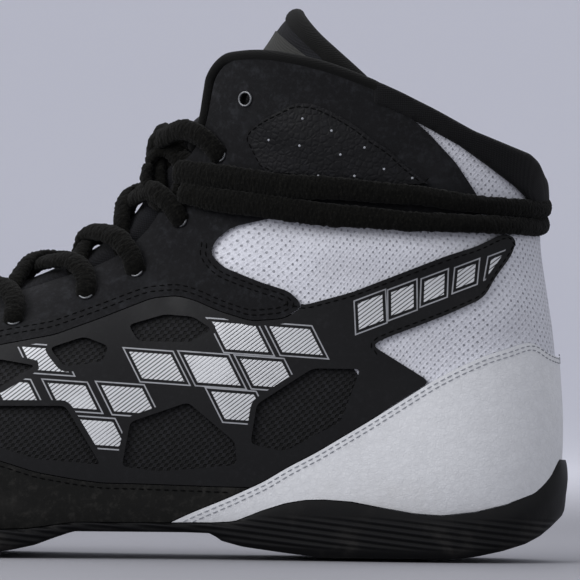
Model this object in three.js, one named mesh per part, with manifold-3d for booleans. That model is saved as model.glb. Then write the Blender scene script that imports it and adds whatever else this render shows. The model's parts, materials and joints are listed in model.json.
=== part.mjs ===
// A left wrestling shoe, high at the ankle, laced over a padded tongue and tied round the ankle.
// Millimetres. +X runs to the toe, +Y to the outer side of the foot, +Z up.
// The origin is on the floor, under the middle of the flat part of the heel.

import * as THREE from 'three';
import { mergeVertices } from 'three/addons/utils/BufferGeometryUtils.js';
import Module from 'manifold-3d';

const wasm = await Module();
wasm.setup();

// Driving dimensions
const soleLength = 285;
const ballWidth = 98;
const heelWidth = 67;
const collarWidth = 72;
const instepHeight = 87;
const shaftHeight = 152;
const heelRest = 50; // from the back of the sole to the origin
const heelRound = 36; // depth of the round end of the sole at the heel
const toeRound = 50; // and at the toe
const archRise = 7.1; // underside of the sole at the arch above the floor
const toeSpring = 13;
const heelCup = 29.7; // top of the rubber at the back of the heel
const footbedHeight = 9.3; // inner floor of the sole at heel and arch
const soleOverhang = 1.9; // sole past the widest part of the upper
const wall = 2.2; // knit, foam and lining of the upper
const joinGap = 0.3; // between pieces that touch
const overlayThickness = 1;
const panelThickness = 0.8; // ankle panel, which lies on the eyestay
const insoleThickness = 3;
const tongueThickness = 5;
const tongueGap = 1.6; // between tongue and upper, for the slack of the lacing
const tongueLean = 23; // how far the top of the tongue leans back
const cuffOutside = 1.6; // padding of the collar outside the wall
const cuffInside = 6; // and inside it
const bindingRadius = 1.4;
const laceRadius = 2.3;
const eyeletBore = 2.1; // radius
const eyeletRim = 1.3;
const eyeletHeight = 1;
const grooveWidth = 2.4;
const grooveDepth = 1.2;

// Fineness of the form
const sectionSteps = 21;
const halfSteps = 8;
const reach = 150; // past every side of the shoe, for cutting tools
const toolDepth = 14; // through the wall and its overlays, for tools square to the surface
const tubeSides = 6;
const ringSides = 6;

// Sides of the sole before its ends are rounded. at: share of the sole's length from the heel.
const outlineRows = [
  { at: 0.0, of: heelWidth, lateral: 0.465, medial: 0.465 },
  { at: 0.12, of: heelWidth, lateral: 0.5, medial: 0.493 },
  { at: 0.22, of: heelWidth, lateral: 0.508, medial: 0.47 },
  { at: 0.32, of: heelWidth, lateral: 0.502, medial: 0.412 },
  { at: 0.42, of: heelWidth, lateral: 0.53, medial: 0.375 },
  { at: 0.52, of: ballWidth, lateral: 0.418, medial: 0.286 },
  { at: 0.62, of: ballWidth, lateral: 0.479, medial: 0.372 },
  { at: 0.7, of: ballWidth, lateral: 0.49, medial: 0.454 },
  { at: 0.78, of: ballWidth, lateral: 0.454, medial: 0.5 },
  { at: 0.86, of: ballWidth, lateral: 0.395, medial: 0.495 },
  { at: 0.93, of: ballWidth, lateral: 0.34, medial: 0.475 },
  { at: 1.0, of: ballWidth, lateral: 0.3, medial: 0.45 },
].map((row) => ({ at: row.at, lateral: row.lateral * row.of, medial: row.medial * row.of }));
const toeLean = 0.11 * ballWidth; // the tip of the toe lies this far to the inner side

// Underside of the sole. lift: share of the arch's rise.
const undersideRows = [
  { at: 0.0, lift: 1.7 },
  { at: 0.01, lift: 1.35 },
  { at: 0.022, lift: 0.98 },
  { at: 0.038, lift: 0.66 },
  { at: 0.063, lift: 0.36 },
  { at: 0.092, lift: 0.12 },
  { at: 0.118, lift: 0 },
  { at: 0.255, lift: 0 },
  { at: 0.298, lift: 0.2 },
  { at: 0.34, lift: 0.42 },
  { at: 0.362, lift: 0.65 },
  { at: 0.374, lift: 0.97 },
  { at: 0.4, lift: 1 },
  { at: 0.52, lift: 1 },
  { at: 0.543, lift: 0.68 },
  { at: 0.56, lift: 0.42 },
  { at: 0.585, lift: 0.2 },
  { at: 0.62, lift: 0 },
  { at: 1.0, lift: 0 },
];
const springStart = 0.79; // share of the length where the toe begins to rise

// Inner floor of the sole, without the toe's rise. up: share of the footbed's height.
const footbedRows = [
  { at: 0.0, up: 1 },
  { at: 0.52, up: 1 },
  { at: 0.55, up: 0.84 },
  { at: 0.59, up: 0.67 },
  { at: 0.7, up: 0.6 },
  { at: 1.0, up: 0.54 },
];

// Upper edge of the rubber at the side. up: share of the heel cup's height.
const rubberRows = [
  { at: 0.0, up: 1 },
  { at: 0.0075, up: 1 },
  { at: 0.017, up: 0.86 },
  { at: 0.036, up: 0.68 },
  { at: 0.063, up: 0.556 },
  { at: 0.097, up: 0.475 },
  { at: 0.132, up: 0.435 },
  { at: 0.161, up: 0.451 },
  { at: 0.2, up: 0.512 },
  { at: 0.228, up: 0.562 },
  { at: 0.258, up: 0.579 },
  { at: 0.277, up: 0.572 },
  { at: 0.297, up: 0.539 },
  { at: 0.322, up: 0.461 },
  { at: 0.351, up: 0.347 },
  { at: 0.4, up: 0.32 },
  { at: 1.0, up: 0.1 },
];
const rubberLip = 0.6; // least height of the rubber's edge over the inner floor
const toeLip = 3; // and at the toe

// Side of the sole from the ground up. level: share of its height, inset: share of the overhang.
const soleSideRows = [
  { level: 0, inset: 1.3 },
  { level: 0.14, inset: 0.5 },
  { level: 0.4, inset: 0.25 },
  { level: 0.66, inset: 0 },
  { level: 0.86, inset: 0.1 },
  { level: 1, inset: 0.4 },
];

// Sections of the last over the foot, from the toe back. Each lies in a plane across the shoe,
// from a point on the bottom to a point on the vamp. x: share of the sole's length, z: share of
// the instep's height, crest: share of the ball's width, widest: share of the way up,
// low, high and peak: how square the section is below and above its widest place.
const footRows = [
  {
    frontX: 0.9937, frontZ: 0.299, backX: 0.9937, backZ: 0.287, crest: -0.11,
    widest: 0.42, low: 2.6, high: 2.3, peak: 2.2,
  },
  {
    frontX: 0.99, frontZ: 0.356, backX: 0.99, backZ: 0.207, crest: -0.11,
    widest: 0.42, low: 2.8, high: 2.3, peak: 2.2,
  },
  {
    frontX: 0.981, frontZ: 0.408, backX: 0.981, backZ: 0.149, crest: -0.11,
    widest: 0.42, low: 3, high: 2.3, peak: 2.2,
  },
  {
    frontX: 0.961, frontZ: 0.46, backX: 0.961, backZ: 0.103, crest: -0.11,
    widest: 0.41, low: 3.2, high: 2.3, peak: 2.2,
  },
  {
    frontX: 0.933, frontZ: 0.5, backX: 0.933, backZ: 0.069, crest: -0.108,
    widest: 0.4, low: 3.5, high: 2.3, peak: 2.15,
  },
  {
    frontX: 0.891, frontZ: 0.546, backX: 0.891, backZ: 0.034, crest: -0.104,
    widest: 0.38, low: 3.8, high: 2.3, peak: 2.1,
  },
  {
    frontX: 0.828, frontZ: 0.615, backX: 0.828, backZ: 0, crest: -0.095,
    widest: 0.36, low: 4, high: 2.2, peak: 2,
  },
  {
    frontX: 0.751, frontZ: 0.707, backX: 0.74, backZ: -0.023, crest: -0.075,
    widest: 0.33, low: 4, high: 2.1, peak: 1.9,
  },
  {
    frontX: 0.674, frontZ: 0.81, backX: 0.646, backZ: -0.034, crest: -0.05,
    widest: 0.31, low: 4, high: 2, peak: 1.8,
  },
  {
    frontX: 0.6035, frontZ: 0.902, backX: 0.544, backZ: -0.034, crest: -0.035,
    widest: 0.3, low: 4, high: 2, peak: 1.72,
  },
  {
    frontX: 0.544, frontZ: 0.983, backX: 0.442, backZ: -0.034, crest: -0.02,
    widest: 0.3, low: 4, high: 2, peak: 1.7,
  },
  {
    frontX: 0.498, frontZ: 1.063, backX: 0.344, backZ: -0.034, crest: -0.012,
    widest: 0.3, low: 4, high: 2, peak: 1.72,
  },
  {
    frontX: 0.468, frontZ: 1.149, backX: 0.253, backZ: -0.034, crest: -0.006,
    widest: 0.31, low: 3.8, high: 2.05, peak: 1.8,
  },
  {
    frontX: 0.449, frontZ: 1.236, backX: 0.165, backZ: -0.034, crest: 0,
    widest: 0.33, low: 3.6, high: 2.1, peak: 1.9,
  },
];

// Sections round the heel and up the shaft. z: share of the shaft's height, widths: of the collar's.
const shaftRows = [
  {
    frontX: 0.437, frontZ: 0.75, backX: 0.095, backZ: -0.02, lateral: 0.466, medial: 0.435,
    widest: 0.36, low: 3.4, high: 2.2, peak: 2,
  },
  {
    frontX: 0.428, frontZ: 0.783, backX: 0.042, backZ: 0.013, lateral: 0.466, medial: 0.444,
    widest: 0.39, low: 3.2, high: 2.2, peak: 2.1,
  },
  {
    frontX: 0.421, frontZ: 0.8125, backX: 0.019, backZ: 0.0855, lateral: 0.464, medial: 0.452,
    widest: 0.42, low: 3, high: 2.2, peak: 2.2,
  },
  {
    frontX: 0.416, frontZ: 0.842, backX: 0.0116, backZ: 0.178, lateral: 0.466, medial: 0.462,
    widest: 0.44, low: 2.9, high: 2.2, peak: 2.2,
  },
  {
    frontX: 0.4116, frontZ: 0.868, backX: 0.0105, backZ: 0.27, lateral: 0.472, medial: 0.478,
    widest: 0.45, low: 2.8, high: 2.2, peak: 2.2,
  },
  {
    frontX: 0.408, frontZ: 0.895, backX: 0.0133, backZ: 0.355, lateral: 0.48, medial: 0.492,
    widest: 0.46, low: 2.7, high: 2.2, peak: 2.2,
  },
  {
    frontX: 0.4046, frontZ: 0.921, backX: 0.0182, backZ: 0.447, lateral: 0.488, medial: 0.503,
    widest: 0.47, low: 2.6, high: 2.2, peak: 2.2,
  },
  {
    frontX: 0.401, frontZ: 0.947, backX: 0.026, backZ: 0.539, lateral: 0.493, medial: 0.505,
    widest: 0.48, low: 2.5, high: 2.2, peak: 2.2,
  },
  {
    frontX: 0.398, frontZ: 0.974, backX: 0.0326, backZ: 0.625, lateral: 0.49, medial: 0.498,
    widest: 0.49, low: 2.4, high: 2.2, peak: 2.2,
  },
  {
    frontX: 0.395, frontZ: 1.003, backX: 0.0316, backZ: 0.7105, lateral: 0.486, medial: 0.49,
    widest: 0.5, low: 2.4, high: 2.2, peak: 2.2,
  },
  {
    frontX: 0.3916, frontZ: 1.039, backX: 0.036, backZ: 0.796, lateral: 0.488, medial: 0.49,
    widest: 0.5, low: 2.4, high: 2.2, peak: 2.2,
  },
  {
    frontX: 0.388, frontZ: 1.0855, backX: 0.047, backZ: 0.895, lateral: 0.49, medial: 0.492,
    widest: 0.5, low: 2.4, high: 2.2, peak: 2.2,
  },
];
const lowPeak = 2.2; // squareness of every section below its widest place

// Side outlines, as pairs: share of the sole's length, share of the shaft's height.
const counterEdge = [
  [-0.06, 0.393], [0.0095, 0.397], [0.024, 0.4066], [0.038, 0.426], [0.0495, 0.428], [0.067, 0.416],
  [0.0926, 0.4007], [0.122, 0.375], [0.147, 0.349], [0.2116, 0.27], [0.267, 0.206], [0.297, 0.176],
  [0.322, 0.147], [0.359, 0.1145], [0.398, 0.084], [0.43, 0.055], [0.43, -0.1], [-0.06, -0.1],
];
const mudguardEdge = [
  [0.28, 0.134], [0.37, 0.136], [0.451, 0.14], [0.49, 0.141], [0.517, 0.147], [0.559, 0.1605],
  [0.602, 0.185], [0.667, 0.213], [0.744, 0.229], [0.82, 0.238], [0.87, 0.252], [0.905, 0.285],
  [0.925, 0.34], [0.93, 0.45], [1.1, 0.45], [1.1, -0.1], [0.28, -0.1],
];
const eyestayEdge = [
  [0.8, 0.55], [0.8, 0.355], [0.758, 0.318], [0.705, 0.335], [0.653, 0.375], [0.602, 0.41],
  [0.543, 0.432], [0.495, 0.466], [0.441, 0.507], [0.415, 0.512], [0.396, 0.503], [0.37, 0.482],
  [0.337, 0.464], [0.302, 0.47], [0.283, 0.495], [0.297, 0.522], [0.33, 0.541], [0.368, 0.569],
  [0.381, 0.595], [0.376, 0.621], [0.358, 0.648], [0.316, 0.666], [0.21, 0.664], [0.095, 0.674],
  [0.102, 0.716], [0.125, 0.779], [0.153, 0.834], [0.173, 0.867], [0.2, 0.9], [0.2, 1.2],
  [0.48, 1.2], [0.55, 0.8],
];
const anklePanelEdge = [
  [0.328, 0.757], [0.34, 0.802], [0.346, 0.829], [0.329, 0.858], [0.308, 0.878], [0.293, 0.893],
  [0.272, 0.889], [0.248, 0.868], [0.228, 0.845], [0.212, 0.82], [0.196, 0.803], [0.18, 0.774],
  [0.161, 0.746], [0.152, 0.736], [0.2, 0.736], [0.27, 0.75],
];
const sideBandEdge = [
  [0.0603, 0.624], [0.063, 0.635], [0.071, 0.6414], [0.079, 0.6375], [0.102, 0.616], [0.134, 0.596],
  [0.2326, 0.522], [0.283, 0.495], [0.37, 0.56], [0.44, 0.56], [0.62, 0.45], [0.76, 0.345],
  [0.8, 0.3], [0.8, 0.1], [0.3, 0.1], [0.2116, 0.27], [0.149, 0.349], [0.2105, 0.419],
  [0.1937, 0.4355], [0.1705, 0.452], [0.1316, 0.4816], [0.098, 0.511], [0.0905, 0.525],
  [0.083, 0.5526], [0.0653, 0.598],
];
const meshWindows = [
  [[0.222, 0.372], [0.272, 0.372], [0.33, 0.3], [0.336, 0.222], [0.3, 0.208], [0.242, 0.268]],
  [[0.35, 0.18], [0.352, 0.225], [0.402, 0.302], [0.462, 0.262], [0.47, 0.175], [0.43, 0.166]],
  [[0.492, 0.178], [0.53, 0.292], [0.63, 0.29], [0.676, 0.255], [0.64, 0.235], [0.56, 0.188]],
  [[0.378, 0.446], [0.398, 0.47], [0.428, 0.474], [0.466, 0.452], [0.455, 0.42], [0.4, 0.42]],
  [[0.486, 0.41], [0.512, 0.428], [0.548, 0.405], [0.532, 0.368], [0.492, 0.38]],
  [[0.562, 0.37], [0.602, 0.382], [0.68, 0.335], [0.72, 0.3], [0.7, 0.275], [0.6, 0.325]],
];
// Top line of the flaps and down their front edge, from the back of the flap forward.
const flapLine = [
  [0.205, 0.93], [0.216, 0.941], [0.2653, 0.9737], [0.3193, 0.9934], [0.359, 0.9914],
  [0.3747, 0.9776], [0.386, 0.947], [0.3895, 0.9145], [0.395, 0.8526], [0.4095, 0.794],
];
// Top line of the padded collar and the seam under it, from the front back.
const collarTop = [
  [0.205, 0.93], [0.1842, 0.913], [0.1453, 0.8776], [0.1063, 0.8388], [0.0674, 0.811],
  [0.0456, 0.796], [0.0358, 0.7796], [0.027, 0.745], [-0.06, 0.74],
];
const collarSeam = [
  [0.205, 0.892], [0.1726, 0.867], [0.1607, 0.855], [0.1217, 0.8158], [0.0863, 0.77],
  [0.0632, 0.7388], [0.0463, 0.711], [0.028, 0.69], [-0.06, 0.69],
];
// Corners of the space that is cut away in front of the flaps and over the collar's seam.
const flapClearance = [[0.45, 0.76], [0.56, 0.8], [0.56, 2], [0.205, 2]];
const collarClearance = [[0.215, 0.9], [0.215, 2], [-0.06, 2]];
const eyeletPlaces = [
  [0.7228, 0.355], [0.656, 0.4046], [0.586, 0.452], [0.5105, 0.506], [0.4575, 0.556],
  [0.4105, 0.66], [0.3705, 0.7895], [0.3439, 0.8987],
];
const lacedEyelets = 7; // the top pair is left free
const bentEyelets = 5; // so many lie where the stay bends, and sit higher than the rest
const bentSeat = 0.4; // height of their seat over the stay's clearance, as a share of the gap
const flatSeat = -0.3; // and of the others'

// Throat: half of its width as a share of the ball's width, by the row of the section.
const throatRows = [
  { row: 6.7, half: 0.03 },
  { row: 6.85, half: 0.09 },
  { row: 7.1, half: 0.125 },
  { row: 10, half: 0.125 },
  { row: 13, half: 0.13 },
  { row: 16, half: 0.14 },
  { row: 25, half: 0.17 },
];
const tongueRows = [
  { row: 7.1, spread: 0.5, lean: 0 },
  { row: 9, spread: 0.68, lean: 0 },
  { row: 11, spread: 0.75, lean: 0 },
  { row: 13.5, spread: 0.8, lean: 0 },
  { row: 16, spread: 0.82, lean: 0.04 },
  { row: 19, spread: 0.88, lean: 0.3 },
  { row: 22, spread: 0.95, lean: 0.68 },
  { row: 24, spread: 1, lean: 0.9 },
  { row: 25.7, spread: 0.92, lean: 1 },
];

// Routes of the two lace ends round the ankle, as side outlines, from the front to the back.
const upperWrap = [
  [0.396, 0.746], [0.37, 0.743], [0.3284, 0.733], [0.25, 0.722],
  [0.18, 0.711], [0.122, 0.7], [0.07, 0.694], [0.04, 0.692],
];
const lowerWrap = [
  [0.398, 0.705], [0.37, 0.697], [0.297, 0.678], [0.223, 0.664],
  [0.17, 0.66], [0.12, 0.657], [0.07, 0.656], [0.04, 0.656],
];
const knotPlace = [0.4365, 0.811];
const knotLength = 13;
const knotRadius = 4.5;
const laceEnd = 14; // how far an end hangs down from the knot
// Route of an end from the side of the knot, as shares of how far it hangs.
const laceEndRoute = [
  { ahead: 0.07, out: 0, down: 0 },
  { ahead: 0.43, out: 0.21, down: 0.29 },
  { ahead: 0.64, out: 0.21, down: 0.71 },
  { ahead: 0.86, out: -0.07, down: 1 },
];

// Interpolation in tables

function smoothRow(rows, place) {
  const index = Math.min(rows.length - 2, Math.max(0, Math.floor(place)));
  const f = place - index;
  const before = rows[Math.max(0, index - 1)];
  const from = rows[index];
  const to = rows[index + 1];
  const after = rows[Math.min(rows.length - 1, index + 2)];
  const result = {};
  for (const key of Object.keys(from)) {
    const leave = (to[key] - before[key]) / 2;
    const arrive = (after[key] - from[key]) / 2;
    const straight = from[key] * (1 - f * f * (3 - 2 * f)) + to[key] * f * f * (3 - 2 * f);
    result[key] = straight + f * (1 - f) * ((1 - f) * leave - f * arrive);
  }
  return result;
}

function rowAt(rows, key, value) {
  let index = 0;
  while (index < rows.length - 2 && rows[index + 1][key] < value) {
    index += 1;
  }
  const span = rows[index + 1][key] - rows[index][key];
  return index + THREE.MathUtils.clamp((value - rows[index][key]) / span, 0, 1);
}

function straightValue(rows, key, value, wanted) {
  const place = rowAt(rows, key, value);
  const index = Math.min(rows.length - 2, Math.floor(place));
  return THREE.MathUtils.lerp(rows[index][wanted], rows[index + 1][wanted], place - index);
}

// The sole's lines, by share of its length

function roundEnd(distance, depth, power) {
  const part = THREE.MathUtils.clamp(1 - distance / depth, 0, 1);
  return Math.pow(Math.max(0, 1 - Math.pow(part, power)), 1 / power);
}

function toeCentre(at) {
  return -toeLean * THREE.MathUtils.smoothstep(at, 0.45, 1);
}

function soleOutline(at) {
  const row = smoothRow(outlineRows, rowAt(outlineRows, 'at', at));
  const centre = toeCentre(at);
  const heel = roundEnd(at * soleLength, heelRound, 2);
  const toe = roundEnd((1 - at) * soleLength, toeRound, 2.2);
  return {
    centre,
    lateral: (row.lateral - centre) * heel * toe,
    medial: (row.medial + centre) * heel * toe,
  };
}

function springAt(at) {
  const along = Math.max(0, at - springStart) / (1 - springStart);
  return toeSpring * Math.pow(along, 1.8);
}

function undersideAt(at) {
  return archRise * straightValue(undersideRows, 'at', at, 'lift') + springAt(at);
}

function footbedAt(at) {
  return footbedHeight * straightValue(footbedRows, 'at', at, 'up') + springAt(at);
}

function rubberEdgeAt(at) {
  const lip = rubberLip + (toeLip - rubberLip) * THREE.MathUtils.smoothstep(at, 0.88, 0.96);
  return Math.max(heelCup * straightValue(rubberRows, 'at', at, 'up'), footbedAt(at) + lip);
}

// The last as one surface: place runs along the rows, turn from the back or bottom (0) round to
// the front or top (PI), positive on the outer side and negative on the inner side.

const formRows = [
  ...footRows.map((row) => {
    const widestAt = row.backX + row.widest * (row.frontX - row.backX);
    const outline = soleOutline(Math.min(1, widestAt + soleOverhang / soleLength));
    const crest = row.crest * ballWidth;
    return {
      frontX: row.frontX * soleLength,
      frontZ: row.frontZ * instepHeight,
      backX: row.backX * soleLength,
      backZ: row.backZ * instepHeight,
      crest,
      lateral: Math.max(1, outline.centre + outline.lateral - soleOverhang - crest),
      medial: Math.max(1, outline.medial - outline.centre - soleOverhang + crest),
      widest: row.widest,
      low: row.low,
      high: row.high,
      peak: row.peak,
    };
  }),
  ...shaftRows.map((row) => ({
    frontX: row.frontX * soleLength,
    frontZ: row.frontZ * shaftHeight,
    backX: row.backX * soleLength,
    backZ: row.backZ * shaftHeight,
    crest: 0,
    lateral: row.lateral * collarWidth,
    medial: row.medial * collarWidth,
    widest: row.widest,
    low: row.low,
    high: row.high,
    peak: row.peak,
  })),
];
const lastPlace = formRows.length - 1;

function formPoint(place, turn) {
  const row = smoothRow(formRows, place);
  const wrapped = Math.abs(turn) > Math.PI ? turn - Math.sign(turn) * 2 * Math.PI : turn;
  const run = Math.cos(wrapped);
  const below = run > 0;
  const share = below ? row.widest * (1 - run) : row.widest - (1 - row.widest) * run;
  const fullness = 1 - Math.pow(Math.abs(run), below ? row.low : row.high);
  const width = Math.pow(Math.max(0, fullness), 1 / (below ? lowPeak : row.peak));
  const side = wrapped >= 0 ? row.lateral : -row.medial;
  return new THREE.Vector3(
    row.backX + share * (row.frontX - row.backX) - heelRest,
    row.crest + side * width,
    row.backZ + share * (row.frontZ - row.backZ),
  );
}

function formNormal(place, turn) {
  const step = 0.06;
  const ahead = formPoint(Math.min(lastPlace, place + step), turn);
  const behind = formPoint(Math.max(0, place - step), turn);
  const above = formPoint(place, turn + step);
  const under = formPoint(place, turn - step);
  return ahead.sub(behind).cross(above.sub(under)).normalize();
}

function offsetPoint(place, turn, offset) {
  return formPoint(place, turn).addScaledVector(formNormal(place, turn), offset);
}

// The place and turn of the point of the surface that is seen at x, z from the side.
function seenFromSide(x, z) {
  let low = 0;
  let high = lastPlace;
  for (let i = 0; i < 40; i += 1) {
    const middle = (low + high) / 2;
    const row = smoothRow(formRows, middle);
    const overX = x + heelRest - row.backX;
    const overZ = z - row.backZ;
    const side = (row.frontX - row.backX) * overZ - (row.frontZ - row.backZ) * overX;
    if (side > 0) {
      low = middle;
    } else {
      high = middle;
    }
  }
  const row = smoothRow(formRows, low);
  const spanX = row.frontX - row.backX;
  const spanZ = row.frontZ - row.backZ;
  const along = (x + heelRest - row.backX) * spanX + (z - row.backZ) * spanZ;
  const share = THREE.MathUtils.clamp(along / (spanX * spanX + spanZ * spanZ), 0, 1);
  const run = share < row.widest ? 1 - share / row.widest : (row.widest - share) / (1 - row.widest);
  return { place: low, turn: Math.acos(THREE.MathUtils.clamp(run, -1, 1)) };
}

function sidePoint(pair, side, offset) {
  const seen = seenFromSide(pair[0] * soleLength - heelRest, pair[1] * shaftHeight);
  return offsetPoint(seen.place, side * seen.turn, offset);
}

// Solids

function solidFromArrays(positions, triangles) {
  const vertProperties = new Float32Array(positions.flatMap((p) => [p.x, p.y, p.z]));
  const triVerts = new Uint32Array(triangles.flat());
  return new wasm.Manifold(new wasm.Mesh({ numProp: 3, vertProperties, triVerts }));
}

function solidFromGeometry(geometry) {
  const bare = geometry.clone();
  bare.deleteAttribute('normal');
  bare.deleteAttribute('uv');
  const merged = mergeVertices(bare, 1e-4);
  return new wasm.Manifold(new wasm.Mesh({
    numProp: 3,
    vertProperties: new Float32Array(merged.attributes.position.array),
    triVerts: new Uint32Array(merged.index.array),
  }));
}

function geometryFromSolid(solid) {
  const mesh = solid.getMesh();
  const geometry = new THREE.BufferGeometry();
  const positions = new Float32Array(mesh.numVert * 3);
  for (let i = 0; i < mesh.numVert; i += 1) {
    for (let k = 0; k < 3; k += 1) {
      positions[3 * i + k] = mesh.vertProperties[mesh.numProp * i + k];
    }
  }
  geometry.setAttribute('position', new THREE.BufferAttribute(positions, 3));
  geometry.setIndex(new THREE.BufferAttribute(new Uint32Array(mesh.triVerts), 1));
  geometry.computeVertexNormals();
  return geometry;
}

// A closed skin over a grid of rings, each ring a loop of as many points.
function solidFromRings(rings, firstCentre, lastCentre) {
  const around = rings[0].length;
  const positions = [...rings.flat(), firstCentre, lastCentre];
  const first = positions.length - 2;
  const last = positions.length - 1;
  const end = (rings.length - 1) * around;
  const triangles = [];
  for (let i = 0; i < rings.length - 1; i += 1) {
    for (let j = 0; j < around; j += 1) {
      const a = i * around + j;
      const b = i * around + ((j + 1) % around);
      triangles.push([a, a + around, b], [b, a + around, b + around]);
    }
  }
  for (let j = 0; j < around; j += 1) {
    const next = (j + 1) % around;
    triangles.push([first, j, next], [last, end + next, end + j]);
  }
  return solidFromArrays(positions, triangles);
}

const formSolids = new Map();

function formSolid(offset) {
  if (!formSolids.has(offset)) {
    const rings = [];
    for (let i = 0; i <= sectionSteps; i += 1) {
      const place = (lastPlace * i) / sectionSteps;
      const ring = [];
      for (let j = 0; j < 2 * halfSteps; j += 1) {
        ring.push(offsetPoint(place, -Math.PI + (Math.PI * j) / halfSteps, offset));
      }
      rings.push(ring);
    }
    const tip = formPoint(0, 0).lerp(formPoint(0, Math.PI), 0.5);
    tip.x += offset;
    const top = formPoint(lastPlace, 0).lerp(formPoint(lastPlace, Math.PI), 0.5);
    formSolids.set(offset, solidFromRings(rings, tip, top));
  }
  return formSolids.get(offset);
}

function shell(from, to) {
  return formSolid(to).subtract(formSolid(from));
}

function sideShape(points) {
  return new THREE.Shape(points.map((p) => new THREE.Vector2(p.x, p.y)));
}

// A prism across the shoe with a side outline, from y = low to y = high.
function prism(points, low = -reach, high = reach) {
  const geometry = new THREE.ExtrudeGeometry(sideShape(points), { depth: high - low, bevelEnabled: false });
  geometry.rotateX(Math.PI / 2);
  geometry.translate(0, high, 0);
  return solidFromGeometry(geometry);
}

function sidePairs(pairs) {
  return pairs.map(([along, up]) => new THREE.Vector2(along * soleLength - heelRest, up * shaftHeight));
}

// An outline made wider on every side by a distance.
function grown(points, distance) {
  const turning = THREE.ShapeUtils.isClockWise(points) ? -1 : 1;
  return points.map((point, i) => {
    const before = points[(i + points.length - 1) % points.length];
    const after = points[(i + 1) % points.length];
    const arrive = point.clone().sub(before).normalize();
    const leave = after.clone().sub(point).normalize();
    const outward = new THREE.Vector2(arrive.y + leave.y, -arrive.x - leave.x).normalize();
    const miter = Math.max(0.5, outward.dot(new THREE.Vector2(arrive.y, -arrive.x)));
    return point.clone().addScaledVector(outward, (turning * distance) / miter);
  });
}

// Everything under a line that is given by share of the sole's length.
function below(heightAt, lift) {
  const points = [new THREE.Vector2(-reach, -reach)];
  const steps = 40;
  for (let i = 0; i <= steps; i += 1) {
    const at = 0.5 - 0.5 * Math.cos((Math.PI * i) / steps);
    points.unshift(new THREE.Vector2(at * soleLength - heelRest, heightAt(at) + lift));
  }
  points.unshift(new THREE.Vector2(soleLength + reach, heightAt(1) + lift));
  points.unshift(new THREE.Vector2(soleLength + reach, -reach));
  points.splice(points.length - 1, 0, new THREE.Vector2(-reach, heightAt(0) + lift));
  return prism(points);
}

function tube(points, radius, steps, sides = tubeSides) {
  const corners = [];
  for (let i = 0; i < sides; i += 1) {
    const angle = (2 * Math.PI * i) / sides;
    corners.push(new THREE.Vector2(radius * Math.cos(angle), radius * Math.sin(angle)));
  }
  return new THREE.ExtrudeGeometry(new THREE.Shape(corners), {
    steps,
    bevelEnabled: false,
    extrudePath: new THREE.CatmullRomCurve3(points),
  });
}

const shoe = new THREE.Group();

function addPiece(name, geometry, color, roughness, metalness = 0) {
  const mesh = new THREE.Mesh(geometry, new THREE.MeshStandardMaterial({ color, roughness, metalness }));
  mesh.name = name;
  shoe.add(mesh);
  return mesh;
}

// The largest body of a solid, without the slivers that a cut can leave.
function mainBody(solid) {
  const bodies = solid.decompose();
  return bodies.reduce((best, body) => (body.volume() > best.volume() ? body : best));
}

function addSolid(name, solid, color, roughness, metalness) {
  return addPiece(name, geometryFromSolid(mainBody(solid)), color, roughness, metalness);
}

// Sole

function soleBody(lift) {
  const stations = 28;
  const loops = [];
  for (const { level, inset } of soleSideRows) {
    const lateral = [];
    const medial = [];
    for (let i = 0; i <= stations; i += 1) {
      const at = 0.5 - 0.5 * Math.cos((Math.PI * (i + 0.4)) / (stations + 0.8));
      const outline = soleOutline(at);
      const z = THREE.MathUtils.lerp(undersideAt(at), rubberEdgeAt(at), level) + lift;
      const shift = inset * soleOverhang;
      const squeeze = THREE.MathUtils.lerp(shift, -shift, at);
      const x = at * soleLength - heelRest + squeeze;
      lateral.push(new THREE.Vector3(x, outline.centre + Math.max(0.4, outline.lateral - shift), z));
      medial.push(new THREE.Vector3(x, outline.centre - Math.max(0.4, outline.medial - shift), z));
    }
    loops.push([...lateral, ...medial.reverse()]);
  }
  const around = loops[0].length;
  const positions = loops.flat();
  const triangles = [];
  for (let j = 0; j < loops.length - 1; j += 1) {
    for (let i = 0; i < around; i += 1) {
      const a = j * around + i;
      const b = j * around + ((i + 1) % around);
      triangles.push([a, a + around, b], [b, a + around, b + around]);
    }
  }
  const top = (loops.length - 1) * around;
  for (let i = 0; i < stations; i += 1) {
    const a = i;
    const b = i + 1;
    const c = around - 1 - i;
    const d = around - 2 - i;
    triangles.push([a, b, c], [b, d, c]);
    triangles.push([top + a, top + c, top + b], [top + b, top + c, top + d]);
  }
  return solidFromArrays(positions, triangles);
}

function crossGroove(at) {
  const x = at * soleLength - heelRest;
  const top = undersideAt(at) + grooveDepth;
  const half = grooveWidth / 2;
  return prism([
    new THREE.Vector2(x - half, -reach),
    new THREE.Vector2(x + half, -reach),
    new THREE.Vector2(x + half, top),
    new THREE.Vector2(x - half, top),
  ]);
}

const pocket = formSolid(joinGap).subtract(below(footbedAt, 0));
let outsole = soleBody(0).subtract(pocket);
for (const at of [0.07, 0.245, 0.635, 0.68, 0.725, 0.77, 0.815]) {
  outsole = outsole.subtract(crossGroove(at));
}
addSolid('outsole', outsole, 0x121214, 0.55);

const insole = formSolid(-wall - joinGap)
  .intersect(below(footbedAt, joinGap + insoleThickness))
  .subtract(below(footbedAt, joinGap));
addSolid('insole', insole, 0x2c2c30, 0.9);

// Cutting tools of the upper

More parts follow.
